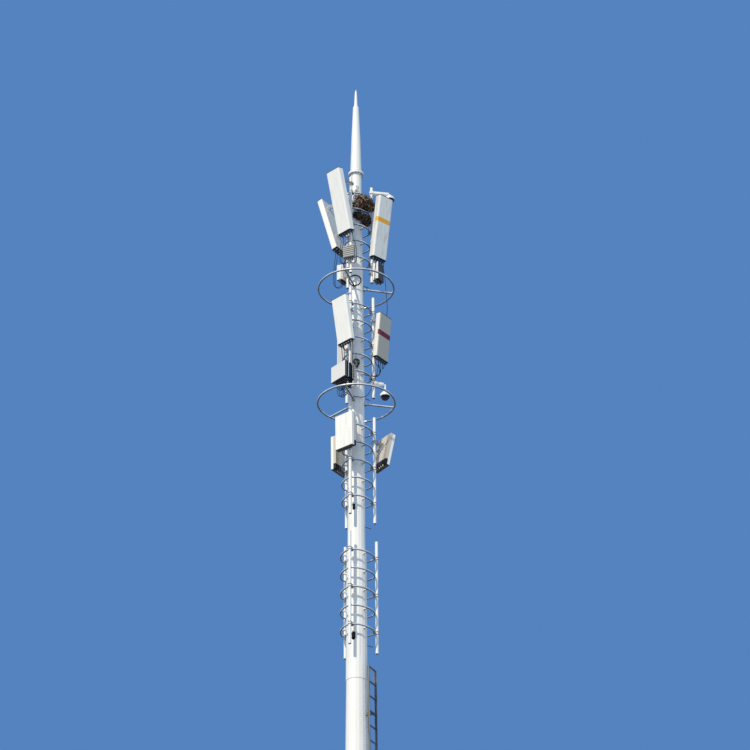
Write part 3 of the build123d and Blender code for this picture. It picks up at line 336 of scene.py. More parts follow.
def overlap(tree, *masks):
    """Product of masks, each a strength, a socket or a soft step."""
    total = None
    for mask in masks:
        if isinstance(mask, dict):
            mask = add_node(tree, "MapRange", mask, interpolation_type="SMOOTHSTEP")
        if total is not None:
            mask = add_node(tree, "Math", {0: total, 1: mask}, operation="MULTIPLY")
        total = mask
    return total


def layer(tree, under, over, *masks):
    """Colour laid over another where its masks overlap; each is a hex code or a socket."""
    return add_node(tree, "Mix", {0: overlap(tree, *masks), 6: under, 7: over}, 2, data_type="RGBA")


def distance(tree, direction, origin=SHAFT_FOOT):
    """Distance of the surface from a plane through an origin, in metres."""
    place = add_node(tree, "TexCoord", output="Object")
    dot = add_node(tree, "VectorMath", {0: place, 1: direction}, "Value", operation="DOT_PRODUCT")
    return add_node(tree, "Math", {0: dot, 1: direction.dot(origin)}, operation="SUBTRACT")


def mottle(tree, size, detail=3.0, roughness=0.55):
    """Cloudy pattern of a size in millimetres: across, or across and up."""
    across, up = size if isinstance(size, tuple) else (size, size)
    place = add_node(tree, "TexCoord", output="Object")
    drawn = {"Vector": place, "Scale": (1, 1, across / up)}
    noise = {
        "Vector": add_node(tree, "Mapping", drawn, vector_type="POINT"),
        "Scale": 1000 / across,
        "Detail": detail,
        "Roughness": roughness,
    }
    return add_node(tree, "TexNoise", noise)


def streaked(tree, clean, strength):
    """Paint with rain streaks that run down it and faint cloudy soiling."""
    streak = mottle(tree, RAIN_STREAKS, 4.0, 0.6)
    cloud = mottle(tree, SOILING, 4.0, 0.6)
    masks = above(streak, 0.64, 0.14), above(cloud, 0.525, 0.175), strength
    return layer(tree, clean, "#a9a596", *masks)


# Materials

MATERIALS = {}


def finish_shader(name, base, roughness, metallic=0.0, coat=0.0, bump=None):
    """Material of one Principled shader. Its base is a hex code or a function that draws it, and
    its bump is a pattern's size in millimetres and its height in metres."""
    material = bpy.data.materials.new(name)
    material.use_nodes = True
    tree = material.node_tree
    tree.nodes.clear()
    inputs = {
        "Base Color": base if isinstance(base, str) else base(tree),
        "Roughness": roughness,
        "Metallic": metallic,
        "Coat Weight": coat,
    }
    if bump:
        size, height = bump
        relief = {"Strength": 0.35, "Distance": height, "Height": mottle(tree, size)}
        inputs["Normal"] = add_node(tree, "Bump", relief)
    add_node(tree, "OutputMaterial", {"Surface": add_node(tree, "BsdfPrincipled", inputs)})
    return material


def paint_material(props):
    """Polyurethane topcoat, sprayed on hot-dip galvanised steel: even satin white with the soft
    gloss of orange peel, grey rain streaks, and earth splashed up from the ground."""

    def base(tree):
        colour = streaked(tree, hex_of(props.paint), 0.55)
        splash = below(distance(tree, UP), 0.475, 0.425)
        return layer(tree, colour, "#7d715c", splash, 0.75, mottle(tree, MUD_SPLASHES))

    return finish_shader(
        "satin_white_paint_on_steel", base, 0.42, coat=0.15, bump=(ORANGE_PEEL, 0.0006)
    )


def stub_material(props):
    """The same sprayed topcoat, with a dull grey, spotted patch at the front of the stub's foot."""
    patch_height = 0.17
    patch_width = 0.062
    patch_back = -0.085

    def base(tree):
        colour = streaked(tree, hex_of(props.paint), 0.5)
        rise = distance(tree, UP, UP * GREY_PATCH_FOOT)
        side = distance(tree, Vector((1, 0, 0)))
        patch = (
            above(rise, 0, 0.02),
            below(rise, patch_height, 0.02),
            above(side, 0, 0.012),
            below(side, patch_width, 0.012),
            below(distance(tree, Vector((0, 1, 0))), patch_back, 0.005),
        )
        return layer(tree, colour, "#8d938c", *patch, above(mottle(tree, GREY_PATCH_SPOTS), 0.45, 0.15))

    return finish_shader("satin_white_paint_with_grey_patch", base, 0.45, coat=0.1)


def zinc_material(props):
    """Hot-dip galvanised steel, weather-worn: matt grey with the faint spangle of zinc crystals."""

    def base(tree):
        place = add_node(tree, "TexCoord", output="Object")
        crystals = {"Vector": place, "Scale": 1000 / SPANGLE}
        cells = add_node(tree, "TexVoronoi", crystals, "Color")
        shade = add_node(tree, "SeparateColor", {"Color": cells})
        return layer(tree, hex_of(props.zinc), "#8f9698", shade, 0.35)

    return finish_shader("weathered_galvanised_steel", base, 0.5, 0.55)


def shaded_zinc_material():
    """Hot-dip galvanised steel, bare for years: matt, painted dark as shade, and paler where rain
    runs down.
    """

    def base(tree):
        # Painted shade: the dark base stands in for the shade that the ladder and step bolts lie in
        return layer(tree, "#55585a", "#7b7f80", above(mottle(tree, PATINA_RUNS), 0.525, 0.175))

    return finish_shader("galvanised_steel_painted_dark_as_shade", base, 0.55, 0.4)


def hoop_material():
    """Galvanised steel tube, drawn and bent: bright zinc that turns chalky in places, with painted
    shade along its underside, where the surface faces down."""

    def base(tree):
        clean = layer(tree, "#eef1f2", "#cfd3d4", above(mottle(tree, CHALK), 0.55, 0.15))
        normal = add_node(tree, "TexCoord", output="Normal")
        lift = add_node(tree, "SeparateXYZ", {"Vector": normal}, "Z")
        # Painted shade: surfaces that face down are darkened to a dark grey
        return layer(tree, clean, "#383d40", below(lift, -0.52, 0.1), 0.9)

    return finish_shader("galvanised_tube", base, 0.36, 0.35)


def bolt_material():
    """Steel bolts, rolled and galvanised: brighter zinc, with rust in the threads of a few."""

    def base(tree):
        return layer(tree, "#93989a", "#5f4130", above(mottle(tree, RUST_SPOTS), 0.62, 0.06), 0.6)

    return finish_shader("galvanised_bolts", base, 0.42, 0.7)


def panel_material(name, props):
    """Glass-fibre radome, moulded and gel coated: a smooth matt shell with faint rain streaks, a
    greyer back, a black foot plate and a dark lid."""
    panel = ANTENNAS[name]
    face = hex_of(props.grey_radome if name.endswith("_right") else props.radome)
    foot_plate = 0.015
    lid = 0.016
    rear_edge = 0.008
    front_edge = 0.01

    def base(tree):
        rise = distance(tree, panel.up, panel.origin)
        inward = distance(tree, panel.inward, panel.origin)
        streak = above(mottle(tree, RADOME_STREAKS), 0.6, 0.15)
        colour = layer(tree, face, "#8b8d86", streak, 0.35 if name in BANDS else 0.1)
        colour = layer(tree, colour, "#c3c7ca", above(inward, panel.depth - rear_edge, 0.004))
        # Painted shade: the front face of the middle right antenna is darker than its white sides
        if name == "panel_middle_right":
            front_shade = hex_of(props.shaded_front_radome)
            colour = layer(tree, colour, front_shade, below(inward, front_edge, 0.006))
        if name in BANDS:
            low, high, reach, tape = BANDS[name]
            strip = above(rise, low, 0.003), below(rise, high, 0.003), below(inward, reach, 0.003)
            wear = above(mottle(tree, TAPE_WEAR), 0.34, 0.06)
            colour = layer(tree, colour, hex_of(getattr(props, tape)), *strip, wear)
        colour = layer(tree, colour, "#1d1f20", below(rise, foot_plate, 0.0015))
        return layer(tree, colour, "#5d6164", above(rise, panel.length - lid, 0.002))

    return finish_shader("gel_coated_" + name, base, 0.45, coat=0.05)


def active_material(name, props):
    """Active antenna of moulded ABS on die-cast aluminium: a smooth white cover, a light grey,
    slightly warm heat sink, and a black connector tray at its foot."""
    antenna = ANTENNAS[name]
    cover_depth = 0.06825
    tray_height = 0.12

    def base(tree):
        rise = distance(tree, antenna.up, antenna.origin)
        streak = above(mottle(tree, COVER_STREAKS), 0.65, 0.15)
        colour = layer(tree, hex_of(props.radome), "#9b9c97", streak, 0.3)
        inward = distance(tree, antenna.inward, antenna.origin)
        back = overlap(tree, above(inward, cover_depth, 0.00225))
        colour = layer(tree, colour, "#cbc6bd", back)
        colour = layer(tree, colour, "#232527", back, below(rise, tray_height, 0.002))
        return layer(tree, colour, "#232527", below(rise, 0.0015, 0.0005))

    return finish_shader("radome_and_heat_sink_" + name, base, 0.42)


def radios_material():
    """Top radios of die-cast aluminium, powder coated: satin white with black undersides, one
    with a black finned face, and one turned grey by the weather and dusty all over."""
    rib_pitch = 0.012
    face_depth = 0.005

    def housing(tree, radio, colour, black_face):
        across = distance(tree, radio.across, radio.origin)
        inward = distance(tree, radio.inward, radio.origin)
        side = radio.width / 2 + 0.004
        inside = (
            above(across, -side, 0.002),
            below(across, side, 0.002),
            above(inward, -0.004, 0.002),
            below(inward, radio.depth + 0.01, 0.002),
        )
        rise = distance(tree, UP, radio.origin)
        own = layer(tree, "#e6e7e5", "#1e2021", below(rise, 0.0005, 0.0005))
        if black_face:
            ribs = add_node(tree, "Math", {0: across, 1: rib_pitch}, operation="PINGPONG")
            stripe = layer(tree, "#1e2021", "#6d7070", above(ribs, rib_pitch / 2, 0.001))
            own = layer(tree, own, stripe, below(inward, face_depth, 0.001))
        return layer(tree, colour, own, *inside)

    def base(tree):
        dust = above(mottle(tree, DUST), 0.6, 0.15)
        grey = layer(tree, "#9a9d9c", "#6f6c63", dust, 0.5)
        rise = distance(tree, UP, RADIOS["ribbed"].origin)
        colour = layer(tree, grey, "#202223", below(rise, 0, 0.001))
        colour = housing(tree, RADIOS["left"], colour, False)
        return housing(tree, RADIOS["right"], colour, True)

    return finish_shader("powder_coated_radios", base, 0.5)


def middle_radio_material():
    """Middle radio of die-cast aluminium, powder coated: a white front plate on a black body, with
    two bright ribs down its side."""
    radio = RADIOS["middle"]
    plate_depth = 0.014
    side_strip = 0.425 * radio.width

    def base(tree):
        inward = distance(tree, radio.inward, radio.origin)
        across = distance(tree, radio.across, radio.origin)
        colour = layer(tree, "#dedddc", "#191b1c", above(inward, plate_depth, 0.002))
        wide = overlap(tree, above(inward, 0.1, 0.002), below(inward, 0.11, 0.002))
        narrow = overlap(tree, above(inward, 0.045, 0.001), below(inward, 0.047, 0.001))
        ribs = add_node(tree, "Math", {0: wide, 1: narrow}, operation="MAXIMUM")
        side = above(across, side_strip, 0.025 * radio.width)
        colour = layer(tree, colour, "#f2f3f2", ribs, side)
        foot = below(distance(tree, UP, radio.origin), 0.0005, 0.0005)
        return layer(tree, colour, "#17191a", foot)

    return finish_shader("powder_coated_radio_with_black_fins", base, 0.5)


def dome_material(props):
    """Upper camera: a cast and painted white hood over a moulded, smoked polycarbonate dome, both
    smooth enough to catch a highlight."""
    hood_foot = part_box("upper_dome")[0][2] + DOME_RISE

    def base(tree):
        height = distance(tree, UP, UP * hood_foot)
        return layer(tree, hex_of(props.paint), "#101214", below(height, 0, 0.001))

    return finish_shader("white_hood_and_smoked_dome", base, 0.25)


def twig_material(props):
    """Dry twigs and bark fibre, as grown: dull brown and very rough, with painted shade that makes
    the lower heap nearly black."""

    def base(tree):
        colour = layer(tree, hex_of(props.twig), "#2c2018", mottle(tree, BARK))
        # Painted shade: the sticks under the upper heap turn nearly black
        heap_shade = below(distance(tree, UP, UP * SHADED_HEAP_TOP), 0, 0.02)
        return layer(tree, colour, "#15100d", heap_shade, 0.85)

    return finish_shader("dry_twigs", base, 0.9)


def sheath_material():
    """Polyethylene cable sheath, extruded: black with a soft sheen, and dusty in places."""

    def base(tree):
        dust = above(mottle(tree, SHEATH_DUST), 0.625, 0.175)
        return layer(tree, "#131516", "#4b4c49", dust, 0.35)

    return finish_shader("polyethylene_cable_sheath", base, 0.45)


def make_materials(props):
    """Every finish but those of the single antennas, by name."""
    return {
        "paint": paint_material(props),
        "stub": stub_material(props),
        "zinc": zinc_material(props),
        "shaded_zinc": shaded_zinc_material(),
        "hoop": hoop_material(),
        "bolts": bolt_material(),
        "radios": radios_material(),
        "radio_middle": middle_radio_material(),
        "dome": dome_material(props),
        "twig": twig_material(props),
        "sheath": sheath_material(),
        # Twigs that have lost their bark: pale, dull and very rough
        "pale_twig": finish_shader("bleached_twigs", "#c9bba2", 0.9),
        # Twigs with red-brown bark: warm, dull and very rough
        "rusty_twig": finish_shader("red_brown_twigs", "#7a4229", 0.9),
        # Cast aluminium, anodised black: deep black with a soft highlight, on the camera ball
        "ball": finish_shader("black_anodised_aluminium", "#0e0c0c", 0.22),
        # Window of the camera, ground and coated glass: dark and very smooth
        "glass": finish_shader("coated_camera_glass", "#2b1a14", 0.06, coat=1.0),
        # Brass connector bodies, turned and nickel plated: bright, dulled by weather
        "nickel": finish_shader("nickel_plated_connectors", "#a9a79f", 0.38, 0.8),
        # EPDM rubber of boots, plugs and fins, moulded: matt black
        "boot": finish_shader("rubber_connector_boots", "#202122", 0.6),
    }


# Meshes


def rod(bm, start, end, radius, segments=12, end_radius=None):
    """Round bar between two points."""
    axis = end - start
    turn = axis.to_track_quat("Z", "Y").to_matrix().to_4x4()
    bmesh.ops.create_cone(
        bm,
        cap_ends=True,
        segments=segments,
        radius1=radius,
        radius2=radius if end_radius is None else end_radius,
        depth=axis.length,
        matrix=Matrix.Translation((start + end) / 2) @ turn,
    )


def nut(bm, seat, axis, across, height):
    """Hexagon nut that sits on a point and stands up along an axis."""
    rod(bm, seat, seat + axis * height, across / math.sqrt(3), 6)


def block(bm, centre, size, turn):
    """Box of a size, turned by a matrix."""
    place = Matrix.Translation(centre) @ turn @ Matrix.Diagonal((*size, 1))
    return bmesh.ops.create_cube(bm, size=1, matrix=place)["verts"]


def bend_bar(bm, place, radius, centre, axis, angle, steps):
    """Round bar bent about an axis, from its first section, which a matrix places."""
    section = bmesh.ops.create_circle(bm, segments=8, radius=radius, matrix=place)
    edges = list({edge for vert in section["verts"] for edge in vert.link_edges})
    full_turn = angle == math.tau
    bmesh.ops.spin(
        bm,
        geom=edges,
        cent=centre,
        axis=axis,
        angle=angle,
        steps=steps,
        use_merge=full_turn,
    )


def cable(bm, points, closed=False):
    """Loose round cable drawn smoothly along control points."""
    curve = bpy.data.curves.new("cable", "CURVE")
    curve.dimensions = "3D"
    curve.bevel_depth = CABLE_RADIUS
    curve.bevel_resolution = 2
    curve.use_fill_caps = True
    spline = curve.splines.new("NURBS")
    spline.points.add(len(points) - 1)
    for knot, place in zip(spline.points, points):
        knot.co = (*place, 1)
    spline.order_u = 3
    spline.use_endpoint_u = not closed
    spline.use_cyclic_u = closed
    spline.resolution_u = 6
    holder = bpy.data.objects.new("cable", curve)
    mesh = bpy.data.meshes.new_from_object(holder)
    bm.from_mesh(mesh)
    bpy.data.objects.remove(holder)
    bpy.data.curves.remove(curve)
    bpy.data.meshes.remove(mesh)


def bevel_edges(bm, edges, offset, segments):
    """Rounds edges, or breaks them with one segment."""
    bmesh.ops.bevel(
        bm,
        geom=edges,
        offset=offset,
        segments=segments,
        profile=0.5,
        affect="EDGES",
        material=-1,
    )


def piece(name, bm, finish, body="tower", smooth=40):
    """Finished object of a bmesh that rides on a body."""
    bmesh.ops.recalc_face_normals(bm, faces=bm.faces)
    mesh = bpy.data.meshes.new(name)
    bm.to_mesh(mesh)
    bm.free()
    mesh.materials.append(MATERIALS[finish])
    mesh.shade_smooth()
    mesh.set_sharp_from_angle(angle=math.radians(smooth))
    obj = bpy.data.objects.new(name, mesh)
    bpy.context.collection.objects.link(obj)
    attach(obj, body)
    return obj


# Pieces


class TOWER_OT_finishes(bpy.types.Operator):
    """Gives each CAD node its finish"""

    bl_idname = "tower.finishes"
    bl_label = "Apply Finishes"

    def execute(self, context):
        props = context.scene.tower_finish
        MATERIALS.update(make_materials(props))
        finishes = {node: finish for finish, nodes in NODE_FINISHES.items() for node in nodes}
        for name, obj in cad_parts.items():
            if name.startswith("panel_"):
                material = panel_material(name, props)
            elif name.startswith("active_"):
                material = active_material(name, props)
            else:
                material = MATERIALS[finishes.get(name, "paint")]
            for slot in obj.material_slots:
                slot.material = material
        return {"FINISHED"}


class TOWER_OT_anchor_bolts(bpy.types.Operator):
    """Stands an anchor bolt with washer and two nuts in each hole of the base plate"""

    bl_idname = "tower.anchor_bolts"
    bl_label = "Add Anchor Bolts"

    def execute(self, context):
        rod_radius = context.scene.tower_fixing.anchor / 2
        rod_foot = 0.002
        rod_top = PLATE_THICKNESS + 0.15
        chamfer = 0.003
        washer = 0.006
        washer_radius = 0.036
        nut_across = 0.055
        nut_height = 0.03
        nut_gap = 0.0005
        bm = bmesh.new()
        for count in range(SIDES):
            azimuth = FLAT_AZIMUTH + (count + 0.5) * 360 / SIDES
            foot = outward(azimuth) * ANCHOR_CIRCLE
            plate = foot + UP * PLATE_THICKNESS
            seat = foot + UP * (PLATE_THICKNESS + washer)
            top = foot + UP * rod_top
            rod(bm, foot + UP * rod_foot, top, rod_radius, 16)
            rod(bm, plate, seat, washer_radius, 24)
            nut(bm, seat, UP, nut_across, nut_height)
            nut(bm, seat + UP * (nut_height + nut_gap), UP, nut_across, nut_height)
            rod(bm, top, foot + UP * (rod_top + chamfer), rod_radius, 16, rod_radius * 0.8)
        piece("anchor_bolts", bm, "bolts")
        return {"FINISHED"}


class TOWER_OT_flange_bolts(bpy.types.Operator):
    """Bolts the spire's flange to the stub's"""

    bl_idname = "tower.flange_bolts"
    bl_label = "Add Flange Bolts"

    def execute(self, context):
        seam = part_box("top_stub")[1][2]
        thickness = 0.0222
        seat = 0.0003
        circle = 0.1445
        bolts = 12
        first_azimuth = FLAT_AZIMUTH + 10
        nut_across = 0.03
        nut_height = 0.016
        head_height = 0.013
        bm = bmesh.new()
        for count in range(bolts):
            foot = outward(first_azimuth + count * 360 / bolts) * circle + UP * seam
            low = foot - UP * thickness
            nut(bm, low, -UP, nut_across, nut_height)
            rod(bm, low - UP * nut_height, low - UP * (nut_height + 0.01), 0.01, 10)
            nut(bm, foot + UP * (thickness + seat), UP, nut_across, head_height)
        piece("flange_bolts", bm, "bolts")
        return {"FINISHED"}


class TOWER_OT_u_bolts(bpy.types.Operator):
    """Clamps each antenna pipe to the hoops with pairs of U-bolts and a back plate"""

    bl_idname = "tower.u_bolts"
    bl_label = "Add U-Bolts"

    def execute(self, context):
        radius = context.scene.tower_fixing.u_bolt / 2
        bend = PIPE_RADIUS + radius + 0.0005
        for group, top in HOOP_TOPS.items():
            bm = bmesh.new()
            for corner, azimuth in CORNERS.items():
                azimuth += U_BOLT_TURNS[corner]
                for level in (0, 2, 4):
                    height = UP * (top - level * HOOP_PITCH)
                    self.clamp(bm, PIPES[group][corner] + height, azimuth, radius, bend)
            piece(f"u_bolts_{group}", bm, "bolts")
        return {"FINISHED"}

    @staticmethod
    def clamp(bm, centre, azimuth, radius, bend):
        """A back plate behind the hoop, and two U-bolts round the pipe and through the plate."""
        plate_size = (0.096, 0.005, 0.09)
        plate_depth = 0.0682
        nut_depth = 0.0707
        nut_across = 0.017
        nut_height = 0.008
        leg = 0.088
        spread = 0.026
        out = outward(azimuth)
        side = sideways(azimuth)
        block(bm, centre - out * plate_depth, plate_size, axes(side, -out, UP))
        for rise in (-spread, spread):
            middle = centre + UP * rise
            place = Matrix.Translation(middle + side * bend) @ axes(UP, side, out)
            bend_bar(bm, place, radius, middle, UP, -math.pi, 12)
            for hand in (-1, 1):
                start = middle + side * bend * hand
                rod(bm, start, start - out * leg, radius, 8)
                nut(bm, start - out * nut_depth, -out, nut_across, nut_height)


class TOWER_OT_pipe_plugs(bpy.types.Operator):
    """Closes both ends of each antenna pipe with a plastic plug"""

    bl_idname = "tower.pipe_plugs"
    bl_label = "Add Pipe Plugs"

    def execute(self, context):
        wide = PIPE_RADIUS * 0.97
        narrow = PIPE_RADIUS * 0.85
        proud = UP * 0.004
        bm = bmesh.new()
        for group, centres in PIPES.items():
            points = pipe_points(group)
            for centre in centres.values():
                own = [p.z for p in points if (p.xy - centre.xy).length < PIPE_RADIUS * 1.2]
                foot = centre + UP * min(own)
                head = centre + UP * max(own)
                rod(bm, foot, foot - proud, wide, 24, narrow)
                rod(bm, head, head + proud, wide, 24, narrow)
        piece("pipe_plugs", bm, "boot")
        return {"FINISHED"}


class TOWER_OT_bracket_bolts(bpy.types.Operator):
    """Puts the clamp rods and pivot bolts on the antenna brackets"""

    bl_idname = "tower.bracket_bolts"
    bl_label = "Add Bracket Bolts"

    def execute(self, context):
        bm = bmesh.new()
        for unit in (*ANTENNAS.values(), *RADIOS.values()):
            back = unit.at(0, unit.depth + BRACKET_SEAT, 0)
            for height in unit.bracket_heights:
                point = unit.pipe + UP * height
                run = (back - point).dot(unit.inward) / unit.out.dot(unit.inward)
                self.fasten(bm, point, unit.out, unit.across, run)
        piece("bracket_bolts", bm, "bolts")
        return {"FINISHED"}

    @staticmethod
    def fasten(bm, point, out, side, run):
        """Clamp rods beside the pipe, and a pivot bolt near the far end of a bracket's run."""
        radius = 0.005
        across = 0.017
        spread = 0.041
        clamp_face = 0.045
        rod_root = 0.044
        rod_tip = 0.062
        nut_height = 0.009
        nut_room = 0.014
        least_pivot_run = 0.1
        pivot_setback = 0.03
        for hand in (-1, 1):
            middle = point + side * spread * hand
            rod(bm, middle - out * rod_tip, middle - out * rod_root, radius, 8)
            nut(bm, middle - out * clamp_face, -out, across, nut_height)
            if run > clamp_face + nut_room:
                nut(bm, middle + out * clamp_face, out, across, nut_height)
        if run > least_pivot_run:
            pivot = point + out * (run - pivot_setback)
            tip = side * 0.043
            cheek = side * 0.034
            rod(bm, pivot - tip, pivot + tip, radius, 8)
            nut(bm, pivot + cheek, side, across, 0.008)
            nut(bm, pivot - cheek, -side, across, 0.008)


class TOWER_OT_connectors(bpy.types.Operator):
    """Dresses the connectors under the antennas and radios with coupling nuts"""

    bl_idname = "tower.connectors"
    bl_label = "Add Connector Nuts"

    def execute(self, context):
        bm = bmesh.new()
        for name, unit in ANTENNAS.items():
            if name.startswith("active_"):
                self.dress_active(bm, unit)
            else:
                self.dress_panel(bm, unit)
        for name, unit in RADIOS.items():
            inset = 0.5 if name == "ribbed" else 0.45
            for tip in self.row(unit, unit.width / (unit.columns + 1), unit.depth * inset):
                self.coupling(bm, unit, tip)
        piece("connector_nuts", bm, "nickel")
        return {"FINISHED"}

    def dress_active(self, bm, unit):
        """One row of plugs with slim nuts, in the tray behind the cover."""
        inward = 0.1
        plug_radius = 0.012
        for tip in self.row(unit, unit.width / 7, inward):
            rod(bm, tip + unit.up * 0.004, tip - unit.up * 0.03, plug_radius, 12)
            nut(bm, tip - unit.up * 0.006, -unit.up, 0.028, 0.01)

    def dress_panel(self, bm, unit):
        """Two rows of couplings, each with a collar above its nut."""
        collar_radius = 0.0165
        for hand in (-1, 1):
            inward = unit.depth / 2 + hand * unit.depth / 4.8
            for tip in self.row(unit, panel_pitch(unit), inward):
                self.coupling(bm, unit, tip)
                rod(bm, tip - unit.up * 0.008, tip - unit.up * 0.013, collar_radius, 16)

    @staticmethod
    def row(unit, pitch, inward):
        """Points of a row of connectors on a unit's foot."""
        middle = (unit.columns - 1) / 2
        return [unit.at((column - middle) * pitch, inward, 0) for column in range(unit.columns)]

    @staticmethod
    def coupling(bm, unit, tip):
        """Coupling nut 20 mm below the foot."""
        nut(bm, tip - unit.up * 0.02, -unit.up, 0.036, 0.014)


class TOWER_OT_coil(bpy.types.Operator):
    """Winds the spare cable as separate turns held by four ties"""

    bl_idname = "tower.coil"
    bl_label = "Wind Spare Cable"

    def execute(self, context):
        radius = 0.005
        pitch = 0.0098
        reach = 0.205
        hook_reach = 0.193
        hook_size = (0.018, 0.034, 0.018)
        tie_length = 0.008
        tie_radius = 0.0158
        out = outward(COIL_AZIMUTH)
        centre = out * reach + UP * COIL_HEIGHT
        sixths = [math.radians(60 * k) for k in range(6)]
        offsets = [(0.0, 0.0)] + [(pitch * math.cos(a), pitch * math.sin(a)) for a in sixths]
        bm = bmesh.new()
        for outer, deep in offsets:
            middle = centre + Vector((0, deep, 0))
            start = Matrix.Translation(middle + UP * (COIL_RADIUS + outer))
            place = start @ Matrix.Rotation(math.pi / 2, 4, "Y")
            bend_bar(bm, place, radius, middle, Vector((0, 1, 0)), math.tau, 48)
        for count in range(4):
            angle = math.radians(45 + 90 * count)
            tie = centre + Vector((math.sin(angle), 0, math.cos(angle))) * COIL_RADIUS
            half = Vector((math.cos(angle), 0, -math.sin(angle))) * tie_length / 2
            rod(bm, tie - half, tie + half, tie_radius, 14)
        hook = out * hook_reach + UP * (COIL_HEIGHT + COIL_RADIUS)
        block(bm, hook, hook_size, axes(sideways(COIL_AZIMUTH), -out, UP))
        coil = piece("spare_cable", bm, "sheath")
        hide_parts("cable_coil")
        return {"FINISHED"}


class TOWER_OT_nest(bpy.types.Operator):
    """Builds the nest of sticks between the hoops"""

    bl_idname = "tower.nest"
    bl_label = "Build Nest"

    def execute(self, context):
        rng = random.Random(7)
        twigs = context.scene.tower_fixing.twigs
        pale_share = 0.22
        rusty_up_to = 0.5
        tip_radius = 0.0014
        # Centre, turn, foot, length, width, height, number of sticks, longest stick
        heaps = (
            (outward(45) * 0.27, 37, 31.8228, 0.5, 0.25, 0.35, twigs, 0.18),
            (outward(14) * 0.205, 20, 31.8228, 0.3, 0.12, 0.21, twigs // 3, 0.12),
            (outward(60) * 0.245, 37, 31.4228, 0.25, 0.17, 0.36, twigs // 3, 0.12),
            (outward(12) * 0.2, 20, 31.5828, 0.26, 0.09, 0.19, twigs // 5, 0.1),
        )
        dark = bmesh.new()
        pale = bmesh.new()
        rusty = bmesh.new()
        for centre, turn, foot, length, width, height, number, longest in heaps:
            place = Matrix.Translation(centre + UP * (foot + height * 0.5))
            place = place @ Matrix.Rotation(math.radians(turn), 4, "Z")
            size = length, width, height
            self.add_core(dark, place, size)
            for _ in range(number):
                ends = self.stick(rng, place, foot, size, longest)
                draw = rng.random()
                # Painted shade: the lower heaps take mostly dark sticks
                if foot < SHADED_HEAPS_BELOW:
                    draw = max(draw, 0.2) * 2.4
                target = pale if draw < pale_share else rusty if draw < rusty_up_to else dark
                rod(target, *ends, rng.uniform(0.002, 0.006), 5, tip_radius)
        dark_twigs = piece("nest_of_sticks", dark, "twig", smooth=60)
        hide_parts("nest")
        piece("bleached_sticks", pale, "pale_twig", smooth=60)
        piece("red_brown_sticks", rusty, "rusty_twig", smooth=60)
        return {"FINISHED"}

    @staticmethod
    def add_core(bm, place, size):
        """Lumpy heart of a heap, which stops light from showing through its sticks."""
        length, width, height = size
        for vert in bmesh.ops.create_icosphere(bm, subdivisions=4, radius=0.5)["verts"]:
            along = vert.co.normalized()
            swell = math.sin(along.x * 7 + length * 40) * math.cos(along.y * 5 + along.z * 9)
            lump = 0.8 + 0.16 * swell
            lump += 0.05 * math.sin(along.x * 31 + along.z * 23)
            x, y, z = vert.co
            vert.co = place @ Vector((x * length * lump, y * width * lump, z * height * lump))

    @staticmethod
    def stick(rng, place, foot, size, longest):
        """Ends of a stick that lies round a heap, more or less along its rim."""
        length, width, height = size
        angle = rng.uniform(0, math.tau)
        level = rng.uniform(-0.5, 0.5)
        bulge = math.sqrt(max(0.2, 1 - (1.9 * level) ** 2)) * rng.uniform(0.72, 1.12)
        x = math.cos(angle) * length / 2 * bulge
        y = math.sin(angle) * width / 2 * bulge
        spot = Vector((x, y, level * height))
        rim = Vector((-math.sin(angle) * length, math.cos(angle) * width, 0)).normalized()
        lean = rng.gauss(0, 0.75)
        run = rng.uniform(0.04, longest)
        stray = Vector((rng.gauss(0, 0.35), rng.gauss(0, 0.35), 0))
        along = (rim * math.cos(lean) + UP * math.sin(lean) + stray).normalized()
        ends = [place @ (spot - along * run / 2), place @ (spot + along * run / 2)]
        for end in ends:
            end.z = min(max(end.z, foot + 0.004), foot + height + 0.012)
        return ends


class TOWER_OT_arm_covers(bpy.types.Operator):
    """Folds a painted sheet cover round the arm of each camera"""

    bl_idname = "tower.arm_covers"
    bl_label = "Add Arm Covers"

    def execute(self, context):
        width = 0.074
        depth = 0.066
        taper = 0.016
        fold_radius = 0.009
        bm = bmesh.new()
        for group, azimuth, height, near, far in ARM_COVERS:
            out = outward(azimuth)
            centre = PIPES[group]["right"] + out * (near + far) / 2 + UP * height
            turn = axes(sideways(azimuth), -out, UP)
            verts = block(bm, centre, (width, far - near, depth), turn)
            for vert in verts:
                if (vert.co - centre).dot(out) > 0 and vert.co.z < height:
                    vert.co.z += taper
            edges = list({edge for vert in verts for edge in vert.link_edges})
            bevel_edges(bm, edges, fold_radius, 3)
        piece("camera_arm_covers", bm, "paint")
        return {"FINISHED"}


class TOWER_OT_radio_fins(bpy.types.Operator):
    """Sets the rear fins of the middle radio, in two halves either side of its bracket"""

    bl_idname = "tower.radio_fins"
    bl_label = "Add Radio Fins"

    def execute(self, context):
        radio = RADIOS["middle"]
        per_side = 8
        first = 0.062
        pitch = 0.0205
        reach = 0.068
        thickness = 0.005
        rail = 0.004
        rail_width = 0.008
        height = radio.length - 0.02
        half_way = radio.depth + reach / 2
        turn = axes(radio.across, radio.inward, radio.up)
        fins = bmesh.new()
        rails = bmesh.new()
        for hand in (-1, 1):
            for count in range(per_side):
                centre = radio.at(hand * (first + count * pitch), half_way, radio.length / 2)
                block(fins, centre, (thickness, reach, height), turn)
            outer = hand * (first + (per_side - 1) * pitch + (thickness + rail) / 2)
            for inward in (0.014, reach - rail_width / 2):
                centre = radio.at(outer, radio.depth + inward, radio.length / 2)
                block(rails, centre, (rail, rail_width, height), turn)
            block(rails, radio.at(outer, half_way, 0.014), (rail, reach, rail_width), turn)
        for bm in (fins, rails):
            bevel_edges(bm, bm.edges[:], 0.0008, 1)
        piece("radio_rear_fins", fins, "boot")
        piece("radio_rear_rails", rails, "paint")
        return {"FINISHED"}


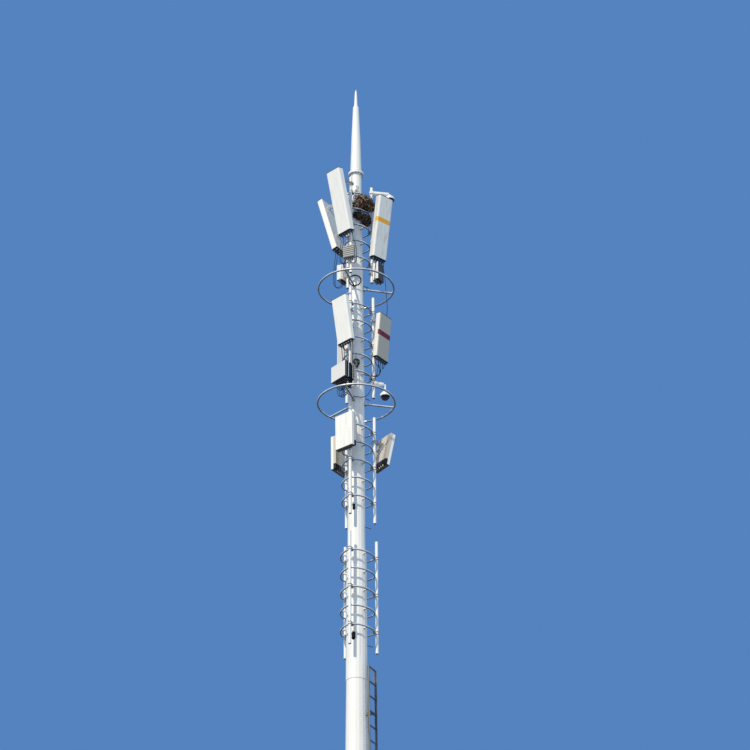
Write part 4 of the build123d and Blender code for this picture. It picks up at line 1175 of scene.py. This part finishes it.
class TOWER_OT_slack_cables(bpy.types.Operator):
    """Hangs the slack cables round the middle array"""

    bl_idname = "tower.slack_cables"
    bl_label = "Hang Slack Cables"

    def execute(self, context):
        bm = bmesh.new()
        self.hang_bows(bm, RADIOS["middle"])
        self.hang_bunch(bm, random.Random(3))
        self.hang_panel_cables(bm, ANTENNAS["panel_middle_right"])
        piece("slack_cables", bm, "sheath", smooth=60)
        return {"FINISHED"}

    @staticmethod
    def hang_bows(bm, radio):
        """Four cables that bow down from sleeves under a radio and go up under a strap."""
        pipe = radio.at(0, radio.reach, 0)
        pipe_clear = PIPE_RADIUS + CABLE_RADIUS + 0.001
        sleeve_radius = 0.011
        strap_radius = 0.046
        for count in range(4):
            start = radio.at(-0.16 + count * 0.05, 0.17, 0)
            rod(bm, start + UP * 0.004, start - UP * 0.035, sleeve_radius, 12)
            deep = 0.12 + count * 0.02
            left = -0.16 + count * 0.03
            right = 0.07 + count * 0.017
            sag = 0.16 + 0.02 * (count % 3)
            points = [start - UP * 0.03, radio.at(-0.16 + count * 0.045, deep, -0.1)]
            for step in range(5):
                angle = step * math.pi / 4
                across = (left + right) / 2 - math.cos(angle) * (right - left) / 2
                points.append(radio.at(across, deep, -0.18 - math.sin(angle) * sag))
            angle = math.radians(20 + 30 * count)
            end = pipe - radio.inward * math.cos(angle) * pipe_clear
            end += radio.across * math.sin(angle) * pipe_clear
            points.append(end - UP * 0.08 - radio.inward * 0.03)
            points += [end, end + UP * 0.06, end + UP * 0.12]
            cable(bm, points)
        rod(bm, pipe + UP * 0.06, pipe + UP * 0.072, strap_radius, 24)

    @staticmethod
    def hang_bunch(bm, rng):
        """A bunch of eight loops of different sizes, tied to a hoop."""
        hang = Vector((-0.005, -0.262, 28.0))
        head = 0.125
        tie_radius = 0.004
        knots = 9
        for _ in range(8):
            turn = Matrix.Rotation(rng.uniform(-0.6, 0.6), 3, "Z")
            turn = turn @ Matrix.Rotation(rng.uniform(-0.45, 0.45), 3, "Y")
            wide = rng.uniform(0.02, 0.055)
            tall = rng.uniform(0.06, 0.13)
            shift = Vector((rng.uniform(-0.02, 0.02), rng.uniform(-0.012, 0.012), head - tall))
            points = []
            for knot in range(knots):
                angle = knot * math.tau / knots
                x = math.sin(angle) * wide * rng.uniform(0.85, 1.15)
                spot = Vector((x, rng.uniform(-0.018, 0.018), math.cos(angle) * tall))
                points.append(hang + shift + turn @ spot)
            cable(bm, points, closed=True)
        rod(bm, hang + UP * 0.1, hang + UP * 0.235, tie_radius, 8)

    @staticmethod
    def hang_panel_cables(bm, panel):
        """Three cables from a panel's connectors; two of them reach the shaft."""
        pitch = panel_pitch(panel)
        for count, column in enumerate((-2, 0, 1)):
            across = column * pitch - pitch / 2
            points = [
                panel.at(across, 0.075, -0.02),
                panel.at(across, 0.08, -0.14),
                Vector((0.52 - count * 0.02, 0.0, 28.03 - count * 0.02)),
                Vector((0.47, 0.03, 27.91 - count * 0.012)),
                Vector((0.385, 0.02, 27.89 - count * 0.014)),
                Vector((0.3, 0.0, 27.91 - count * 0.02)),
                Vector((0.18, -0.02, 27.94 - count * 0.03)),
            ]
            cable(bm, points if count else points[:-2])


class TOWER_OT_camera_window(bpy.types.Operator):
    """Sets a window into the turning camera: a glass, and over it a closed disc with screws"""

    bl_idname = "tower.camera_window"
    bl_label = "Add Camera Window"

    def execute(self, context):
        ball_radius = 0.084
        glass_radius = 0.0305
        ring_radius = 0.0328
        rim = 0.0795
        screws = 6
        screw_circle = 0.0285
        screw_radius = 0.0016
        low, high = (Vector(c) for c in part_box("camera_ball"))
        centre = Vector(((low.x + high.x) / 2, (low.y + high.y) / 2, low.z + ball_radius))
        look = Vector((0, -1, -0.35)).normalized()
        glass = bmesh.new()
        rod(glass, centre + look * 0.0765, centre + look * 0.0785, glass_radius, 40)
        piece("camera_glass", glass, "glass", body="camera_ball")
        # The disc hides the glass, which lies inside it
        ring = bmesh.new()
        rod(ring, centre + look * 0.0762, centre + look * rim, ring_radius, 40)
        for count in range(screws):
            turn = Matrix.Rotation(count * math.tau / screws, 4, look)
            radial = turn @ look.orthogonal().normalized()
            screw = centre + look * rim + radial * screw_circle
            rod(ring, screw, screw + look * 0.0008, screw_radius, 8)
        piece("camera_window_ring", ring, "ball", body="camera_ball")
        return {"FINISHED"}


class TOWER_OT_stage(bpy.types.Operator):
    """Sets the floor, the sky, the sun and the camera"""

    bl_idname = "tower.stage"
    bl_label = "Set the Stage"

    def execute(self, context):
        props = context.scene.tower_stage
        self.lay_floor(context, props)
        self.make_sky(context, props)
        self.hang_sun(context, props)
        self.place_camera(context)
        context.scene.view_settings.view_transform = "Standard"
        return {"FINISHED"}

    @staticmethod
    def lay_floor(context, props):
        """Concrete, cast and floated: pale, matt and even."""
        half_width = 60
        bm = bmesh.new()
        bmesh.ops.create_grid(bm, x_segments=1, y_segments=1, size=half_width)
        mesh = bpy.data.meshes.new("floor")
        bm.to_mesh(mesh)
        bm.free()
        mesh.materials.append(finish_shader("pale_concrete_floor", hex_of(props.floor), 0.9))
        floor = bpy.data.objects.new("floor", mesh)
        context.collection.objects.link(floor)

    @staticmethod
    def make_sky(context, props):
        """Plain sky behind the tower, also in its reflections, and a paler one that lights it."""
        world = bpy.data.worlds.new("sky")
        context.scene.world = world
        world.use_nodes = True
        tree = world.node_tree
        tree.nodes.clear()
        rays = add_node(tree, "LightPath").node.outputs
        seen = rays["Is Camera Ray"]
        for ray in ("Is Glossy Ray", "Is Transmission Ray"):
            seen = add_node(tree, "Math", {0: seen, 1: rays[ray]}, operation="MAXIMUM")
        plain = add_node(tree, "Background", {"Color": hex_of(props.sky), "Strength": 1.0})
        light = add_node(tree, "Background", {"Color": "#cfe4ff", "Strength": props.sky_light})
        both = add_node(tree, "MixShader", {0: seen, 1: light, 2: plain})
        add_node(tree, "OutputWorld", {"Surface": both})

    @staticmethod
    def hang_sun(context, props):
        """Warm sun from the left, over the camera's shoulder."""
        azimuth = -28
        height = math.radians(41)
        disc = math.radians(1.0)
        away = 60
        sun = bpy.data.objects.new("sun", bpy.data.lights.new("sun", "SUN"))
        sun.data.energy = props.sun
        sun.data.angle = disc
        sun.data.color = linear("#fff2d8")[:3]
        from_sun = outward(azimuth) * math.cos(height) + UP * math.sin(height)
        sun.rotation_euler = from_sun.to_track_quat("Z", "Y").to_euler()
        sun.location = from_sun * away
        context.collection.objects.link(sun)

    @staticmethod
    def place_camera(context):
        """Camera at eye level that looks up at the arrays, as the photograph does."""
        distance_away = 45
        eye_level = 1.6
        tilt = 30.3
        roll = -0.08
        camera = bpy.data.objects.new("camera", bpy.data.cameras.new("camera"))
        camera.data.lens = 122.4
        camera.data.sensor_width = 36
        camera.data.shift_x = 0.025
        camera.data.clip_end = 500
        turn = Matrix.Rotation(math.radians(90 + tilt), 4, "X")
        turn = turn @ Matrix.Rotation(math.radians(roll), 4, "Z")
        camera.matrix_world = Matrix.Translation((0, -distance_away, eye_level)) @ turn
        context.collection.objects.link(camera)
        context.scene.camera = camera


class TOWER_PT_panel(bpy.types.Panel):
    """Lists the tower's settings and steps"""

    bl_label = "Monopole Cell Tower"
    bl_idname = "TOWER_PT_panel"
    bl_space_type = "VIEW_3D"
    bl_region_type = "UI"
    bl_category = "Tower"

    def draw(self, context):
        layout = self.layout
        for group in ("tower_finish", "tower_fixing", "tower_stage"):
            data = getattr(context.scene, group)
            for key in data.bl_rna.properties.keys():
                if key not in {"rna_type", "name"}:
                    layout.prop(data, key)
        for operator in OPERATORS:
            layout.operator(operator.bl_idname)


OPERATORS = (
    TOWER_OT_finishes,
    TOWER_OT_anchor_bolts,
    TOWER_OT_flange_bolts,
    TOWER_OT_u_bolts,
    TOWER_OT_pipe_plugs,
    TOWER_OT_bracket_bolts,
    TOWER_OT_connectors,
    TOWER_OT_coil,
    TOWER_OT_nest,
    TOWER_OT_arm_covers,
    TOWER_OT_radio_fins,
    TOWER_OT_slack_cables,
    TOWER_OT_camera_window,
    TOWER_OT_stage,
)
CLASSES = (FinishSettings, FixingSettings, StageSettings, *OPERATORS, TOWER_PT_panel)


def register():
    for cls in CLASSES:
        bpy.utils.register_class(cls)
    bpy.types.Scene.tower_finish = PointerProperty(type=FinishSettings)
    bpy.types.Scene.tower_fixing = PointerProperty(type=FixingSettings)
    bpy.types.Scene.tower_stage = PointerProperty(type=StageSettings)


def unregister():
    del bpy.types.Scene.tower_stage
    del bpy.types.Scene.tower_fixing
    del bpy.types.Scene.tower_finish
    for cls in reversed(CLASSES):
        bpy.utils.unregister_class(cls)


def main():
    register()
    bpy.ops.tower.finishes()
    bpy.ops.tower.anchor_bolts()
    bpy.ops.tower.flange_bolts()
    bpy.ops.tower.u_bolts()
    bpy.ops.tower.pipe_plugs()
    bpy.ops.tower.bracket_bolts()
    bpy.ops.tower.connectors()
    bpy.ops.tower.coil()
    bpy.ops.tower.nest()
    bpy.ops.tower.arm_covers()
    bpy.ops.tower.radio_fins()
    bpy.ops.tower.slack_cables()
    bpy.ops.tower.camera_window()
    bpy.ops.tower.stage()


if __name__ == "__main__":
    main()
